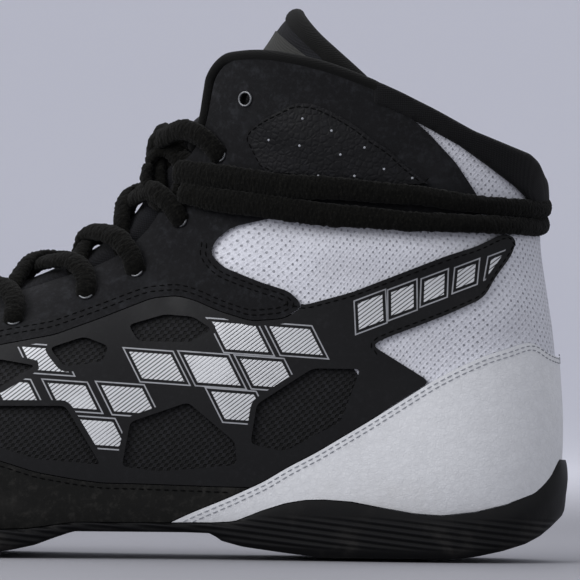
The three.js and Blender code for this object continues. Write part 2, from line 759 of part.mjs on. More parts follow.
function throatTool(extra) {
  const rings = [];
  const perRow = 2;
  const steps = perRow * (throatRows.length - 1);
  for (let i = 0; i <= steps; i += 1) {
    const from = throatRows[Math.floor(i / perRow)].row;
    const to = throatRows[Math.min(throatRows.length - 1, Math.floor(i / perRow) + 1)].row;
    const place = THREE.MathUtils.lerp(from, to, (i % perRow) / perRow);
    const half = straightValue(throatRows, 'row', place, 'half') * ballWidth + extra;
    const front = formPoint(place, Math.PI);
    const out = formNormal(place, Math.PI);
    const deep = front.clone().addScaledVector(out, -toolDepth);
    const high = front.clone().addScaledVector(out, toolDepth);
    rings.push([
      new THREE.Vector3(deep.x, deep.y - half, deep.z),
      new THREE.Vector3(high.x, high.y - half, high.z),
      new THREE.Vector3(high.x, high.y + half, high.z),
      new THREE.Vector3(deep.x, deep.y + half, deep.z),
    ].reverse());
  }
  const middle = (ring) => ring[0].clone().lerp(ring[2], 0.5);
  return solidFromRings(rings, middle(rings[0]), middle(rings[steps]));
}

function eyeletTool(pair, side) {
  const inside = sidePoint(pair, side, -toolDepth);
  const outside = sidePoint(pair, side, toolDepth);
  return solidFromGeometry(tube([inside, outside], eyeletBore, 1));
}

const aboveFlaps = grown(sidePairs([...flapLine, ...flapClearance]), 2 * bindingRadius + 2 * joinGap);
const aboveCollar = sidePairs([...[...collarSeam].reverse(), ...collarClearance]);
const openings = prism(aboveFlaps).add(prism(aboveCollar)).add(throatTool(0));
let eyeletHoles = eyeletTool(eyeletPlaces[0], 1);
for (const pair of eyeletPlaces) {
  for (const side of [1, -1]) {
    eyeletHoles = eyeletHoles.add(eyeletTool(pair, side));
  }
}

const upper = shell(-wall, 0)
  .subtract(below(footbedAt, joinGap))
  .subtract(openings)
  .subtract(eyeletHoles);
addSolid('upper', upper, 0xd9dbe0, 0.85);

// Padded collar, behind the flaps

const seamLift = new THREE.Vector2(0, joinGap);
const collarBand = [
  ...sidePairs(collarTop),
  ...sidePairs(collarSeam).reverse().map((point) => point.add(seamLift)),
];
const collar = shell(-cuffInside, cuffOutside).intersect(prism(collarBand));
addSolid('collar', collar, 0x18181a, 0.95);

// Overlays

const firstLayer = shell(joinGap, joinGap + overlayThickness);
const counterTool = prism(grown(sidePairs(counterEdge), joinGap));
const mudguardTool = prism(grown(sidePairs(mudguardEdge), joinGap));
const eyestayTool = prism(grown(sidePairs(eyestayEdge), joinGap));
const rubberTool = below(footbedAt, joinGap).add(soleBody(joinGap));

const heelCounter = firstLayer.intersect(prism(sidePairs(counterEdge))).subtract(rubberTool);
addSolid('heel_counter', heelCounter, 0xcdced0, 0.6);

const mudguard = firstLayer
  .intersect(prism(sidePairs(mudguardEdge)))
  .subtract(rubberTool)
  .subtract(counterTool);
addSolid('mudguard', mudguard, 0x1c1c1b, 0.95);

const eyestay = firstLayer
  .intersect(prism(sidePairs(eyestayEdge)))
  .subtract(openings)
  .subtract(throatTool(0.5))
  .subtract(mudguardTool)
  .subtract(eyeletHoles);
addSolid('eyestay', eyestay, 0x1e1e21, 0.85);

let sideBand = firstLayer
  .intersect(prism(sidePairs(sideBandEdge)))
  .subtract(counterTool)
  .subtract(mudguardTool)
  .subtract(eyestayTool);
for (const window of meshWindows) {
  sideBand = sideBand.subtract(prism(sidePairs(window)));
}

const panelFrom = 2 * joinGap + overlayThickness;
const secondLayer = shell(panelFrom, panelFrom + panelThickness);
const anklePanel = secondLayer.intersect(prism(sidePairs(anklePanelEdge)));

for (const [name, low, high] of [['lateral', 0, reach], ['medial', -reach, 0]]) {
  const half = prism([
    new THREE.Vector2(-reach, -reach),
    new THREE.Vector2(2 * reach, -reach),
    new THREE.Vector2(2 * reach, 2 * reach),
    new THREE.Vector2(-reach, 2 * reach),
  ], low, high);
  addSolid(`side_band_${name}`, sideBand.intersect(half), 0x1c1c1f, 0.35);
  addSolid(`ankle_panel_${name}`, anklePanel.intersect(half), 0x26262a, 0.6);
}

// Tongue

function tongueSolid() {
  const outside = -wall - tongueGap;
  const steps = 15;
  const columns = 8;
  const rings = [];
  for (let i = 0; i <= steps; i += 1) {
    const place = THREE.MathUtils.lerp(tongueRows[0].row, tongueRows.at(-1).row, i / steps);
    const spread = straightValue(tongueRows, 'row', place, 'spread');
    const lean = straightValue(tongueRows, 'row', place, 'lean') * tongueLean;
    const outer = [];
    const inner = [];
    for (let j = 0; j <= columns; j += 1) {
      const turn = Math.PI + spread * ((2 * j) / columns - 1);
      const folded = turn > Math.PI ? turn - 2 * Math.PI : turn;
      const shift = new THREE.Vector3(-lean, 0, 0);
      outer.push(offsetPoint(place, folded, outside).add(shift));
      inner.push(offsetPoint(place, folded, outside - tongueThickness).add(shift));
    }
    rings.push([...outer, ...inner.reverse()]);
  }
  const middle = (ring) => ring[columns / 2].clone().lerp(ring[columns + 1 + columns / 2], 0.5);
  return solidFromRings(rings, middle(rings[0]), middle(rings[steps]));
}
addSolid('tongue', tongueSolid(), 0x2a2a2c, 0.9);

// Eyelets and binding

for (const [name, side] of [['lateral', 1], ['medial', -1]]) {
  eyeletPlaces.forEach((pair, i) => {
    const seat = (i < bentEyelets ? bentSeat : flatSeat) * joinGap;
    const foot = sidePoint(pair, side, panelFrom + seat);
    const out = sidePoint(pair, side, panelFrom + eyeletHeight).sub(foot).normalize();
    const ring = new THREE.LatheGeometry([
      new THREE.Vector2(eyeletBore, 0),
      new THREE.Vector2(eyeletBore + eyeletRim, 0),
      new THREE.Vector2(eyeletBore + eyeletRim, 0.4 * eyeletHeight),
      new THREE.Vector2(eyeletBore + 0.3 * eyeletRim, eyeletHeight),
      new THREE.Vector2(eyeletBore, 0),
    ], ringSides);
    const mesh = addPiece(`eyelet_${name}_${i + 1}`, ring, 0x8a8c90, 0.35, 1);
    mesh.position.copy(foot);
    mesh.quaternion.setFromUnitVectors(new THREE.Vector3(0, 1, 0), out);
  });
  const edge = grown([...sidePairs(flapLine), ...sidePairs([[0.3, 0.7]])], -bindingRadius);
  const route = edge.slice(0, flapLine.length).map((point) => {
    const seen = seenFromSide(point.x, point.y);
    return offsetPoint(seen.place, side * seen.turn, 0);
  });
  addPiece(`flap_binding_${name}`, tube(route, bindingRadius, 13), 0x101011, 0.9);
}

// Laces

// A point over the throat: spread is the turn from the crest, positive on the outer side.
function throatPoint(place, spread, offset) {
  return offsetPoint(place, Math.PI - spread, offset);
}

const overEyelet = panelFrom + eyeletHeight + 3 * joinGap + laceRadius;
const overTongue = laceRadius - wall - 2 * joinGap; // the tongue swells into the throat

// One lace from the edge of the throat at one pair of eyelets over to the next pair's eyelet.
function laceStrand(i, side) {
  const from = seenFromSide(...sidePlace(eyeletPlaces[i]));
  const to = seenFromSide(...sidePlace(eyeletPlaces[i + 1]));
  const spreadFrom = side * (Math.PI - from.turn);
  const spreadTo = -side * (Math.PI - to.turn);
  const between = (share) => THREE.MathUtils.lerp(from.place, to.place, share);
  return tube([
    throatPoint(from.place, 0.3 * spreadFrom, overTongue + 0.8),
    throatPoint(between(0.15), 0, overTongue + 1.6),
    throatPoint(between(0.6), 0.58 * spreadTo, overEyelet - 0.8),
    throatPoint(to.place, spreadTo, overEyelet),
  ], laceRadius, 5);
}

function sidePlace(pair) {
  return [pair[0] * soleLength - heelRest, pair[1] * shaftHeight];
}

function laceBar() {
  const at = seenFromSide(...sidePlace(eyeletPlaces[0]));
  const spread = Math.PI - at.turn;
  return tube([
    throatPoint(at.place, -spread, overEyelet),
    throatPoint(at.place, -0.5 * spread, overEyelet),
    throatPoint(at.place, 0, overEyelet),
    throatPoint(at.place, 0.5 * spread, overEyelet),
    throatPoint(at.place, spread, overEyelet),
  ], laceRadius, 6);
}

addPiece('lace_bar', laceBar(), 0x0d0d0c, 0.95);
for (let i = 0; i < lacedEyelets - 1; i += 1) {
  const crossing = solidFromGeometry(laceStrand(i, 1)).add(solidFromGeometry(laceStrand(i, -1)));
  addSolid(`lace_crossing_${i + 1}`, crossing, 0x0d0d0c, 0.95);
}

const overFlap = overlayThickness + 2 * joinGap + laceRadius;
for (const [name, line] of [['upper', upperWrap], ['lower', lowerWrap]]) {
  const back = seenFromSide(...sidePlace([0.02, line.at(-1)[1] - 0.006]));
  const route = [
    ...line.map((pair) => sidePoint(pair, 1, overFlap)),
    offsetPoint(back.place, 0, overFlap),
    ...line.map((pair) => sidePoint(pair, -1, overFlap)).reverse(),
  ];
  addPiece(`lace_wrap_${name}`, tube(route, laceRadius, 24), 0x0d0d0c, 0.95);
}

const knot = new THREE.LatheGeometry([
  new THREE.Vector2(0, -knotLength / 2),
  new THREE.Vector2(0.75 * knotRadius, -0.42 * knotLength),
  new THREE.Vector2(knotRadius, 0),
  new THREE.Vector2(0.75 * knotRadius, 0.42 * knotLength),
  new THREE.Vector2(0, knotLength / 2),
], 10);
const knotMesh = addPiece('lace_knot', knot, 0x0d0d0c, 0.95);
const [knotX, knotZ] = sidePlace(knotPlace);
knotMesh.position.set(knotX, 0, knotZ);

for (const [name, side] of [['lateral', 1], ['medial', -1]]) {
  const from = side * (knotLength / 2 + laceRadius);
  const route = laceEndRoute.map(({ ahead, out, down }) => (
    new THREE.Vector3(knotX + ahead * laceEnd, from + side * out * laceEnd, knotZ - down * laceEnd)
  ));
  addPiece(`lace_end_${name}`, tube(route, laceRadius, 6), 0x0d0d0c, 0.95);
}

export default shoe;
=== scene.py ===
import json
import math

import bmesh
import bpy
import numpy as np
from mathutils import Matrix, Vector

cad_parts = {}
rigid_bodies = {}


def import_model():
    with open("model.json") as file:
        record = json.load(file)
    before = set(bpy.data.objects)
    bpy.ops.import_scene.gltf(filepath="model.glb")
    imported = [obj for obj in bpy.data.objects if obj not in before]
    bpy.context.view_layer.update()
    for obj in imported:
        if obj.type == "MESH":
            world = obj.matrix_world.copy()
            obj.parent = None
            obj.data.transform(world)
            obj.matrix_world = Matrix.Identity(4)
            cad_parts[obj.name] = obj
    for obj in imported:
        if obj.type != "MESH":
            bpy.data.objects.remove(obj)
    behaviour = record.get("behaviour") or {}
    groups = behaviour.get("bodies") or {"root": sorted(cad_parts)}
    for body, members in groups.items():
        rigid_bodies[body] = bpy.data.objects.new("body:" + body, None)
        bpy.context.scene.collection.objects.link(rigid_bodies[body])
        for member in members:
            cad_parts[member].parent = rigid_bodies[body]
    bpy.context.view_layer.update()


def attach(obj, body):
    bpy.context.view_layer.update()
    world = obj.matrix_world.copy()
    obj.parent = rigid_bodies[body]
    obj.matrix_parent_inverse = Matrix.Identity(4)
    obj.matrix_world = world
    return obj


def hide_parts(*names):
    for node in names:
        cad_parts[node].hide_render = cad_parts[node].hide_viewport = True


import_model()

# A left wrestling shoe, high at the ankle and laced round it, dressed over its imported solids.
# Lengths are in metres; the tables hold shares of the sizes named first. +X is the toe, +Y the outer side.

mm = 0.001

last = {
    "soleLength": 285 * mm, "ballWidth": 98 * mm, "heelWidth": 67 * mm, "collarWidth": 72 * mm,
    "instepHeight": 87 * mm, "shaftHeight": 152 * mm, "heelRest": 50 * mm, "heelRound": 36 * mm,
    "toeRound": 50 * mm, "archRise": 7.1 * mm, "toeSpring": 13 * mm, "heelCup": 29.7 * mm,
    "footbed": 9.3 * mm, "overhang": 1.9 * mm, "wall": 2.2 * mm, "gap": 0.3 * mm, "overlay": 1.0 * mm,
    "panel": 0.8 * mm, "tongueGap": 1.6 * mm, "tongue": 5 * mm, "tongueLean": 23 * mm,
    "cuffOutside": 1.6 * mm, "cuffInside": 6 * mm, "binding": 1.4 * mm,
}
reach = 0.15
sole = last["soleLength"]
shaft = last["shaftHeight"]

# Sides of the sole before its ends are rounded: share of length, half widths to the outer and inner side
outlineTable = np.array([
    (0.0, 0.465, 0.465), (0.12, 0.5, 0.493), (0.22, 0.508, 0.47), (0.32, 0.502, 0.412),
    (0.42, 0.53, 0.375), (0.52, 0.418, 0.286), (0.62, 0.479, 0.372), (0.7, 0.49, 0.454),
    (0.78, 0.454, 0.5), (0.86, 0.395, 0.495), (0.93, 0.34, 0.475), (1.0, 0.3, 0.45),
])
outlineTable[:5, 1:] *= last["heelWidth"]
outlineTable[5:, 1:] *= last["ballWidth"]
toeLean = 0.11 * last["ballWidth"]
# Underside, share of length and of the arch's rise
undersideTable = np.array([
    (0.0, 1.7), (0.01, 1.35), (0.022, 0.98), (0.038, 0.66), (0.063, 0.36), (0.092, 0.12),
    (0.118, 0), (0.255, 0), (0.298, 0.2), (0.34, 0.42), (0.362, 0.65), (0.374, 0.97), (0.4, 1),
    (0.52, 1), (0.543, 0.68), (0.56, 0.42), (0.585, 0.2), (0.62, 0), (1.0, 0),
])
footbedTable = np.array([(0.0, 1), (0.52, 1), (0.55, 0.84), (0.59, 0.67), (0.7, 0.6), (1.0, 0.54)])
rubberTable = np.array([
    (0.0, 1), (0.0075, 1), (0.017, 0.86), (0.036, 0.68), (0.063, 0.556), (0.097, 0.475),
    (0.132, 0.435), (0.161, 0.451), (0.2, 0.512), (0.228, 0.562), (0.258, 0.579), (0.277, 0.572),
    (0.297, 0.539), (0.322, 0.461), (0.351, 0.347), (0.4, 0.32), (1.0, 0.1),
])
# Sections over the foot: front x, z, back x, z, crest, widest place, low, high, peak
footTable = np.array([
    (0.9937, 0.299, 0.9937, 0.287, -0.11, 0.42, 2.6, 2.3, 2.2),
    (0.99, 0.356, 0.99, 0.207, -0.11, 0.42, 2.8, 2.3, 2.2),
    (0.981, 0.408, 0.981, 0.149, -0.11, 0.42, 3, 2.3, 2.2),
    (0.961, 0.46, 0.961, 0.103, -0.11, 0.41, 3.2, 2.3, 2.2),
    (0.933, 0.5, 0.933, 0.069, -0.108, 0.4, 3.5, 2.3, 2.15),
    (0.891, 0.546, 0.891, 0.034, -0.104, 0.38, 3.8, 2.3, 2.1),
    (0.828, 0.615, 0.828, 0, -0.095, 0.36, 4, 2.2, 2),
    (0.751, 0.707, 0.74, -0.023, -0.075, 0.33, 4, 2.1, 1.9),
    (0.674, 0.81, 0.646, -0.034, -0.05, 0.31, 4, 2, 1.8),
    (0.6035, 0.902, 0.544, -0.034, -0.035, 0.3, 4, 2, 1.72),
    (0.544, 0.983, 0.442, -0.034, -0.02, 0.3, 4, 2, 1.7),
    (0.498, 1.063, 0.344, -0.034, -0.012, 0.3, 4, 2, 1.72),
    (0.468, 1.149, 0.253, -0.034, -0.006, 0.31, 3.8, 2.05, 1.8),
    (0.449, 1.236, 0.165, -0.034, 0, 0.33, 3.6, 2.1, 1.9),
])
# Sections round the heel and shaft: front x, z, back x, z, outer, inner, widest place, low, high, peak
shaftTable = np.array([
    (0.437, 0.75, 0.095, -0.02, 0.466, 0.435, 0.36, 3.4, 2.2, 2),
    (0.428, 0.783, 0.042, 0.013, 0.466, 0.444, 0.39, 3.2, 2.2, 2.1),
    (0.421, 0.8125, 0.019, 0.0855, 0.464, 0.452, 0.42, 3, 2.2, 2.2),
    (0.416, 0.842, 0.0116, 0.178, 0.466, 0.462, 0.44, 2.9, 2.2, 2.2),
    (0.4116, 0.868, 0.0105, 0.27, 0.472, 0.478, 0.45, 2.8, 2.2, 2.2),
    (0.408, 0.895, 0.0133, 0.355, 0.48, 0.492, 0.46, 2.7, 2.2, 2.2),
    (0.4046, 0.921, 0.0182, 0.447, 0.488, 0.503, 0.47, 2.6, 2.2, 2.2),
    (0.401, 0.947, 0.026, 0.539, 0.493, 0.505, 0.48, 2.5, 2.2, 2.2),
    (0.398, 0.974, 0.0326, 0.625, 0.49, 0.498, 0.49, 2.4, 2.2, 2.2),
    (0.395, 1.003, 0.0316, 0.7105, 0.486, 0.49, 0.5, 2.4, 2.2, 2.2),
    (0.3916, 1.039, 0.036, 0.796, 0.488, 0.49, 0.5, 2.4, 2.2, 2.2),
    (0.388, 1.0855, 0.047, 0.895, 0.49, 0.492, 0.5, 2.4, 2.2, 2.2),
])


def smoothRows(table, place):
    place = np.asarray(place, float)
    index = np.clip(np.floor(place).astype(int), 0, len(table) - 2)
    f = (place - index)[..., None]
    before, start = table[np.maximum(index - 1, 0)], table[index]
    end, after = table[index + 1], table[np.minimum(index + 2, len(table) - 1)]
    blend = f * f * (3 - 2 * f)
    bend = f * (1 - f) * ((1 - f) * (end - before) / 2 - f * (after - start) / 2)
    return start * (1 - blend) + end * blend + bend


def softStep(value, low, high):
    t = np.clip((value - low) / (high - low), 0, 1)
    return t * t * (3 - 2 * t)


def roundEnd(distance, depth, power):
    part = np.clip(1 - distance / depth, 0, 1)
    return np.power(np.maximum(0, 1 - part ** power), 1 / power)


def soleOutline(at):
    at = np.asarray(at, float)
    place = np.interp(at, outlineTable[:, 0], np.arange(len(outlineTable)))
    row = smoothRows(outlineTable, place)
    centre = -toeLean * softStep(at, 0.45, 1)
    ends = roundEnd(at * sole, last["heelRound"], 2) * roundEnd((1 - at) * sole, last["toeRound"], 2.2)
    return centre, (row[..., 1] - centre) * ends, (row[..., 2] + centre) * ends


def springAt(at):
    return last["toeSpring"] * (np.maximum(0, np.asarray(at) - 0.79) / 0.21) ** 1.8


def undersideAt(at):
    return last["archRise"] * np.interp(at, *undersideTable.T) + springAt(at)


def footbedAt(at):
    return last["footbed"] * np.interp(at, *footbedTable.T) + springAt(at)


def rubberEdgeAt(at):
    lip = (0.6 + 2.4 * softStep(np.asarray(at), 0.88, 0.96)) * mm
    return np.maximum(last["heelCup"] * np.interp(at, *rubberTable.T), footbedAt(at) + lip)


def formTableOf():
    rows = []
    for frontX, frontZ, backX, backZ, crest, widest, low, high, peak in footTable:
        at = min(1, backX + widest * (frontX - backX) + last["overhang"] / sole)
        centre, outer, inner = soleOutline(at)
        crest *= last["ballWidth"]
        rows.append((
            frontX * sole, frontZ * last["instepHeight"], backX * sole, backZ * last["instepHeight"], crest,
            max(mm, centre + outer - last["overhang"] - crest), max(mm,
                inner - centre - last["overhang"] + crest),
            widest, low, high, peak,
        ))
    for frontX, frontZ, backX, backZ, outer, inner, widest, low, high, peak in shaftTable:
        width = last["collarWidth"]
        rows.append((frontX * sole, frontZ * shaft, backX * sole, backZ * shaft, 0, outer * width,
            inner * width,
                     widest, low, high, peak))
    return np.array(rows)


formTable = formTableOf()
lastPlace = len(formTable) - 1

# Creases as soft troughs, seen from the side: two ends in mm from the heel and floor, depth, half width
creases = {
    "both": [
        ((126, 97), (108, 91), 0.45, 0.9),
        ((196, 67), (176, 44), 0.9, 4.0), ((184, 72), (164, 47), 0.7, 3.6),
        ((207, 62), (192, 40), 0.6, 3.4),
        ((122, 92), (101, 78), 1.0, 4.2), ((117, 100), (98, 90), 0.7, 3.4),
        ((129, 86), (118, 74), 0.6, 3.2),
        ((101, 101), (30, 99), 0.9, 3.2), ((112, 113), (20, 106), 0.8, 3.0), ((24, 92), (8, 84), 0.5, 3.4),
        ((60, 52), (30, 66), 0.3, 4.5), ((100, 134), (86, 118), 0.4, 4.5),
    ],
    "swells": [
        ((70, 92), (40, 92), -1.1, 6.0), ((96, 88), (84, 84), -0.8, 4.0), ((90, 128), (66, 124), -0.7, 7.0),
        ((40, 72), (24, 74), -0.6, 6.0), ((112, 84), (106, 82), -0.8, 4.0),
        ((152, 78), (138, 82), -0.6, 5.0),
    ],
}


def creaseDepth(points):
    x, z = points[..., 0] + last["heelRest"], points[..., 2]
    depth = np.zeros(x.shape)
    for (x1, z1), (x2, z2), amount, width in creases["both"] + creases["swells"]:
        start, along = np.array((x1, z1)) * mm, np.array((x2 - x1, z2 - z1)) * mm
        t = np.clip(((x - start[0]) * along[0] + (z - start[1]) * along[1]) / (along @ along), -0.2, 1.2)
        away = np.hypot(x - start[0] - t * along[0], z - start[1] - t * along[1])
        fade = softStep(t, -0.2, 0.3) * (1 - softStep(t, 0.7, 1.2)) if amount > 0 else 1
        depth += amount * mm * np.exp(-(away / (width * mm)) ** 2) * fade
    sides = softStep(np.abs(points[..., 1]), 4 * mm, 16 * mm)
    return depth * (0.25 + 0.75 * sides)


def formPoints(place, turn):
    place, turn = np.broadcast_arrays(np.asarray(place, float), np.asarray(turn, float))
    row = smoothRows(formTable, place)
    turn = np.where(np.abs(turn) > np.pi, turn - np.sign(turn) * 2 * np.pi, turn)
    run = np.cos(turn)
    below = run > 0
    share = np.where(below, row[..., 7] * (1 - run), row[..., 7] - (1 - row[..., 7]) * run)
    fullness = np.maximum(0, 1 - np.abs(run) ** np.where(below, row[..., 8], row[..., 9]))
    width = fullness ** (1 / np.where(below, 2.2, row[..., 10]))
    side = np.where(turn >= 0, row[..., 5], -row[..., 6])
    return np.stack([
        row[..., 2] + share * (row[..., 0] - row[..., 2]) - last["heelRest"],
        row[..., 4] + side * width,
        row[..., 3] + share * (row[..., 1] - row[..., 3]),
    ], axis=-1)


def formNormals(place, turn, step=0.05):
    along = formPoints(np.minimum(lastPlace, place + step), turn) - formPoints(np.maximum(0, place - step),
        turn)
    around = formPoints(place, turn + step) - formPoints(place, turn - step)
    normal = np.cross(along, around)
    return normal / np.linalg.norm(normal, axis=-1, keepdims=True)


def surface(place, turn, offset=0.0, creased=True):
    place, turn = np.broadcast_arrays(np.asarray(place, float), np.asarray(turn, float))
    points = formPoints(place, turn)
    depth = creaseDepth(points) if creased else 0.0
    return points + formNormals(place, turn) * (np.asarray(offset) - depth)[..., None]


def seenFromSide(x, z):
    x, z = np.broadcast_arrays(np.asarray(x, float) + last["heelRest"], np.asarray(z, float))
    low, high = np.zeros(x.shape), np.full(x.shape, float(lastPlace))
    for _ in range(36):
        middle = (low + high) / 2
        row = smoothRows(formTable, middle)
        side = (row[..., 0] - row[..., 2]) * (z - row[..., 3]) - (row[..., 1] - row[...,
            3]) * (x - row[..., 2])
        low, high = np.where(side > 0, middle, low), np.where(side > 0, high, middle)
    row = smoothRows(formTable, low)
    spanX, spanZ = row[..., 0] - row[..., 2], row[..., 1] - row[..., 3]
    share = np.clip(((x - row[..., 2]) * spanX + (z - row[..., 3]) * spanZ) / (spanX ** 2 + spanZ ** 2), 0,
        1)
    run = np.where(share < row[..., 7], 1 - share / row[..., 7], (row[..., 7] - share) / (1 - row[..., 7]))
    return low, np.arccos(np.clip(run, -1, 1))


def sidePairs(pairs):
    return np.array([(along * sole - last["heelRest"], up * shaft) for along, up in pairs])


def sideLine(points, side, offset):
    place, turn = seenFromSide(points[:, 0], points[:, 1])
    return surface(place, side * turn, offset)


def smoothLine(points, per=6):
    points = np.asarray(points, float)
    return smoothRows(points, np.linspace(0, len(points) - 1, per * (len(points) - 1) + 1))


def evenLine(points, spacing):
    points = np.asarray(points, float)
    steps = np.linalg.norm(np.diff(points[:, :3], axis=0), axis=1)  # a line may carry its normals too
    travelled = np.concatenate([[0], np.cumsum(steps)])
    count = max(2, int(round(travelled[-1] / spacing)) + 1)
    wanted = np.linspace(0, travelled[-1], count)
    return np.stack([np.interp(wanted, travelled, points[:, k]) for k in range(points.shape[1])], axis=1)


def grown(points, distance):
    points = np.asarray(points, float)
    after, before = np.roll(points, -1, axis=0), np.roll(points, 1, axis=0)
    area = np.sum(points[:, 0] * after[:, 1] - after[:, 0] * points[:, 1])
    arrive, leave = points - before, after - points
    arrive /= np.linalg.norm(arrive, axis=1, keepdims=True)
    leave /= np.linalg.norm(leave, axis=1, keepdims=True)
    outward = np.stack([arrive[:, 1] + leave[:, 1], -arrive[:, 0] - leave[:, 0]], axis=1)
    outward /= np.linalg.norm(outward, axis=1, keepdims=True)
    miter = np.maximum(0.5, outward[:, 0] * arrive[:, 1] - outward[:, 1] * arrive[:, 0])
    return points + outward * (np.sign(area) * distance / miter)[:, None]


def softCorners(points, radius, per=4):
    points = np.asarray(points, float)
    result = []
    for i, corner in enumerate(points):
        before, after = points[i - 1], points[(i + 1) % len(points)]
        toBefore, toAfter = before - corner, after - corner
        cut = min(radius, 0.45 * np.linalg.norm(toBefore), 0.45 * np.linalg.norm(toAfter))
        a = corner + toBefore / np.linalg.norm(toBefore) * cut
        b = corner + toAfter / np.linalg.norm(toAfter) * cut
        for t in np.linspace(0, 1, per):
            result.append((1 - t) ** 2 * a + 2 * t * (1 - t) * corner + t * t * b)
    return np.array(result)


# Camera at the photograph's angle: square to the outer side, a little rolled

cameraData = {"distance": 2.8, "shownWidth": 0.174, "lateralPlane": 0.016, "aim": (34.6 * mm, 79.8 * mm),
    "roll": 0.8}


def addCamera():
    data = cameraData
    camera = bpy.data.objects.new("camera", bpy.data.cameras.new("camera"))
    bpy.context.scene.collection.objects.link(camera)
    camera.data.sensor_width = 36
    camera.data.lens = 36 * data["distance"] / data["shownWidth"]
    camera.data.clip_end = 20
    x, z = data["aim"]
    camera.matrix_world = (
        Matrix.Translation((x, data["lateralPlane"] + data["distance"], z))
        @ Matrix.Rotation(math.pi, 4, "Z")
        @ Matrix.Rotation(math.pi / 2, 4, "X")
        @ Matrix.Rotation(math.radians(data["roll"]), 4, "Z")
    )
    bpy.context.scene.camera = camera


addCamera()
print("camera placed")


# Finishes

def linear(r, g, b):
    return tuple(((c / 255 + 0.055) / 1.055) ** 2.4 if c > 10 else c / 255 / 12.92 for c in (r, g, b))


class Finish:
    def __init__(self, name, colour, roughness, metallic=0.0, coat=0.0, sheen=0.0, specular=0.5):
        self.material = bpy.data.materials.new(name)
        self.material.use_nodes = True
        self.tree = self.material.node_tree
        self.shader = self.tree.nodes["Principled BSDF"]
        self.colour = linear(*colour)
        self.set("Base Color", (*self.colour, 1))
        self.set("Roughness", roughness)
        self.set("Metallic", metallic)
        self.set("Specular IOR Level", specular)
        self.set("Coat Weight", coat)
        self.set("Sheen Weight", sheen)
        self.set("Sheen Roughness", 0.5)
        self.material.diffuse_color = (*self.colour, 1)
        self.normal = None
        self.coords = self.node("ShaderNodeTexCoord").outputs["Object"]

    def set(self, name, value):
        self.shader.inputs[name].default_value = value

    def node(self, kind, links=None, **settings):
        made = self.tree.nodes.new(kind)
        for key, value in settings.items():
            if hasattr(made, key):
                setattr(made, key, value)
            else:
                made.inputs[key.replace("_", " ")].default_value = value
        for key, source in (links or {}).items():
            self.tree.links.new(source, made.inputs[key])
        return made

    def math(self, operation, a, b=None, c=None):
        made = self.node("ShaderNodeMath", operation=operation)
        for index, value in enumerate((a, b, c)):
            if value is None:
                continue
            if isinstance(value, (int, float)):
                made.inputs[index].default_value = value
            else:
                self.tree.links.new(value, made.inputs[index])
        return made.outputs[0]

    def noise(self, scale, detail=3.0, roughness=0.55, vector=None, distortion=0.0):
        made = self.node("ShaderNodeTexNoise", {"Vector": vector or self.coords})
        made.inputs["Scale"].default_value = scale
        made.inputs["Detail"].default_value = detail
        made.inputs["Roughness"].default_value = roughness
        made.inputs["Distortion"].default_value = distortion
        return made.outputs["Fac"]

    def cells(self, scale, feature="F1", vector=None, randomness=1.0):
        made = self.node("ShaderNodeTexVoronoi", {"Vector": vector or self.coords}, feature=feature)
        made.inputs["Scale"].default_value = scale
        made.inputs["Randomness"].default_value = randomness
        return made.outputs["Distance"]

    def parts(self, vector=None):
        made = self.node("ShaderNodeSeparateXYZ", {"Vector": vector or self.coords})
        return made.outputs["X"], made.outputs["Y"], made.outputs["Z"]

    def ramp(self, source, low, high, fromValue=0.0, toValue=1.0):
        made = self.node("ShaderNodeMapRange", {"Value": source}, interpolation_type="SMOOTHSTEP")
        for key, value in (("From Min", low), ("From Max", high), ("To Min", fromValue),
            ("To Max", toValue)):
            made.inputs[key].default_value = value
        return made.outputs["Result"]

    def bump(self, height, distance, strength=1.0):
        made = self.node("ShaderNodeBump", {"Height": height})
        made.inputs["Distance"].default_value = distance
        made.inputs["Strength"].default_value = strength
        if self.normal:
            self.tree.links.new(self.normal, made.inputs["Normal"])
        self.normal = made.outputs["Normal"]
        self.tree.links.new(self.normal, self.shader.inputs["Normal"])

    def tint(self, mask, colour):
        socket = self.shader.inputs["Base Color"]
        made = self.node("ShaderNodeMix", data_type="RGBA")
        self.tree.links.new(mask, made.inputs[0])
        if socket.is_linked:
            self.tree.links.new(socket.links[0].from_socket, made.inputs[6])
        else:
            made.inputs[6].default_value = socket.default_value
        made.inputs[7].default_value = (*linear(*colour), 1)
        self.tree.links.new(made.outputs[2], socket)

    def polish(self, mask, low, high):
        made = self.node("ShaderNodeMapRange", {"Value": mask})
        made.inputs["To Min"].default_value = low
        made.inputs["To Max"].default_value = high
        self.tree.links.new(made.outputs["Result"], self.shader.inputs["Roughness"])

    def attribute(self, name):
        return self.node("ShaderNodeAttribute", attribute_name=name).outputs["Vector"]

    def wave(self, value, pitch, phase=0.0):
        return self.math("SINE", self.math("MULTIPLY_ADD", value, 2 * math.pi / pitch, phase))


def whiteLeather():
    f = Finish("leather_white", (214, 215, 218), 0.5, coat=0.05)
    fine = f.cells(1150)
    f.bump(f.cells(1150, "DISTANCE_TO_EDGE"), 0.00016, 0.5)
    f.bump(f.noise(240, 4), 0.0002, 0.35)
    x, y, z = f.parts()
    f.tint(f.ramp(fine, 0.2, 0.75, 0, 0.1), (190, 190, 194))
    crackle = f.cells(430, "DISTANCE_TO_EDGE")
    f.bump(crackle, 0.0002, 0.4)
    f.tint(f.ramp(crackle, 0.0, 0.16, 0.2, 0.0), (192, 193, 197))
    f.tint(f.ramp(f.noise(330, 3), 0.4, 0.65, 0, 0.3), (196, 197, 200))
    f.tint(f.math("MULTIPLY", f.ramp(f.noise(38, 5), 0.55, 0.85), f.ramp(z, 0.03, 0.012, 0, 0.6)),
        (186, 183, 178))
    f.polish(f.noise(60), 0.42, 0.62)
    return f.material


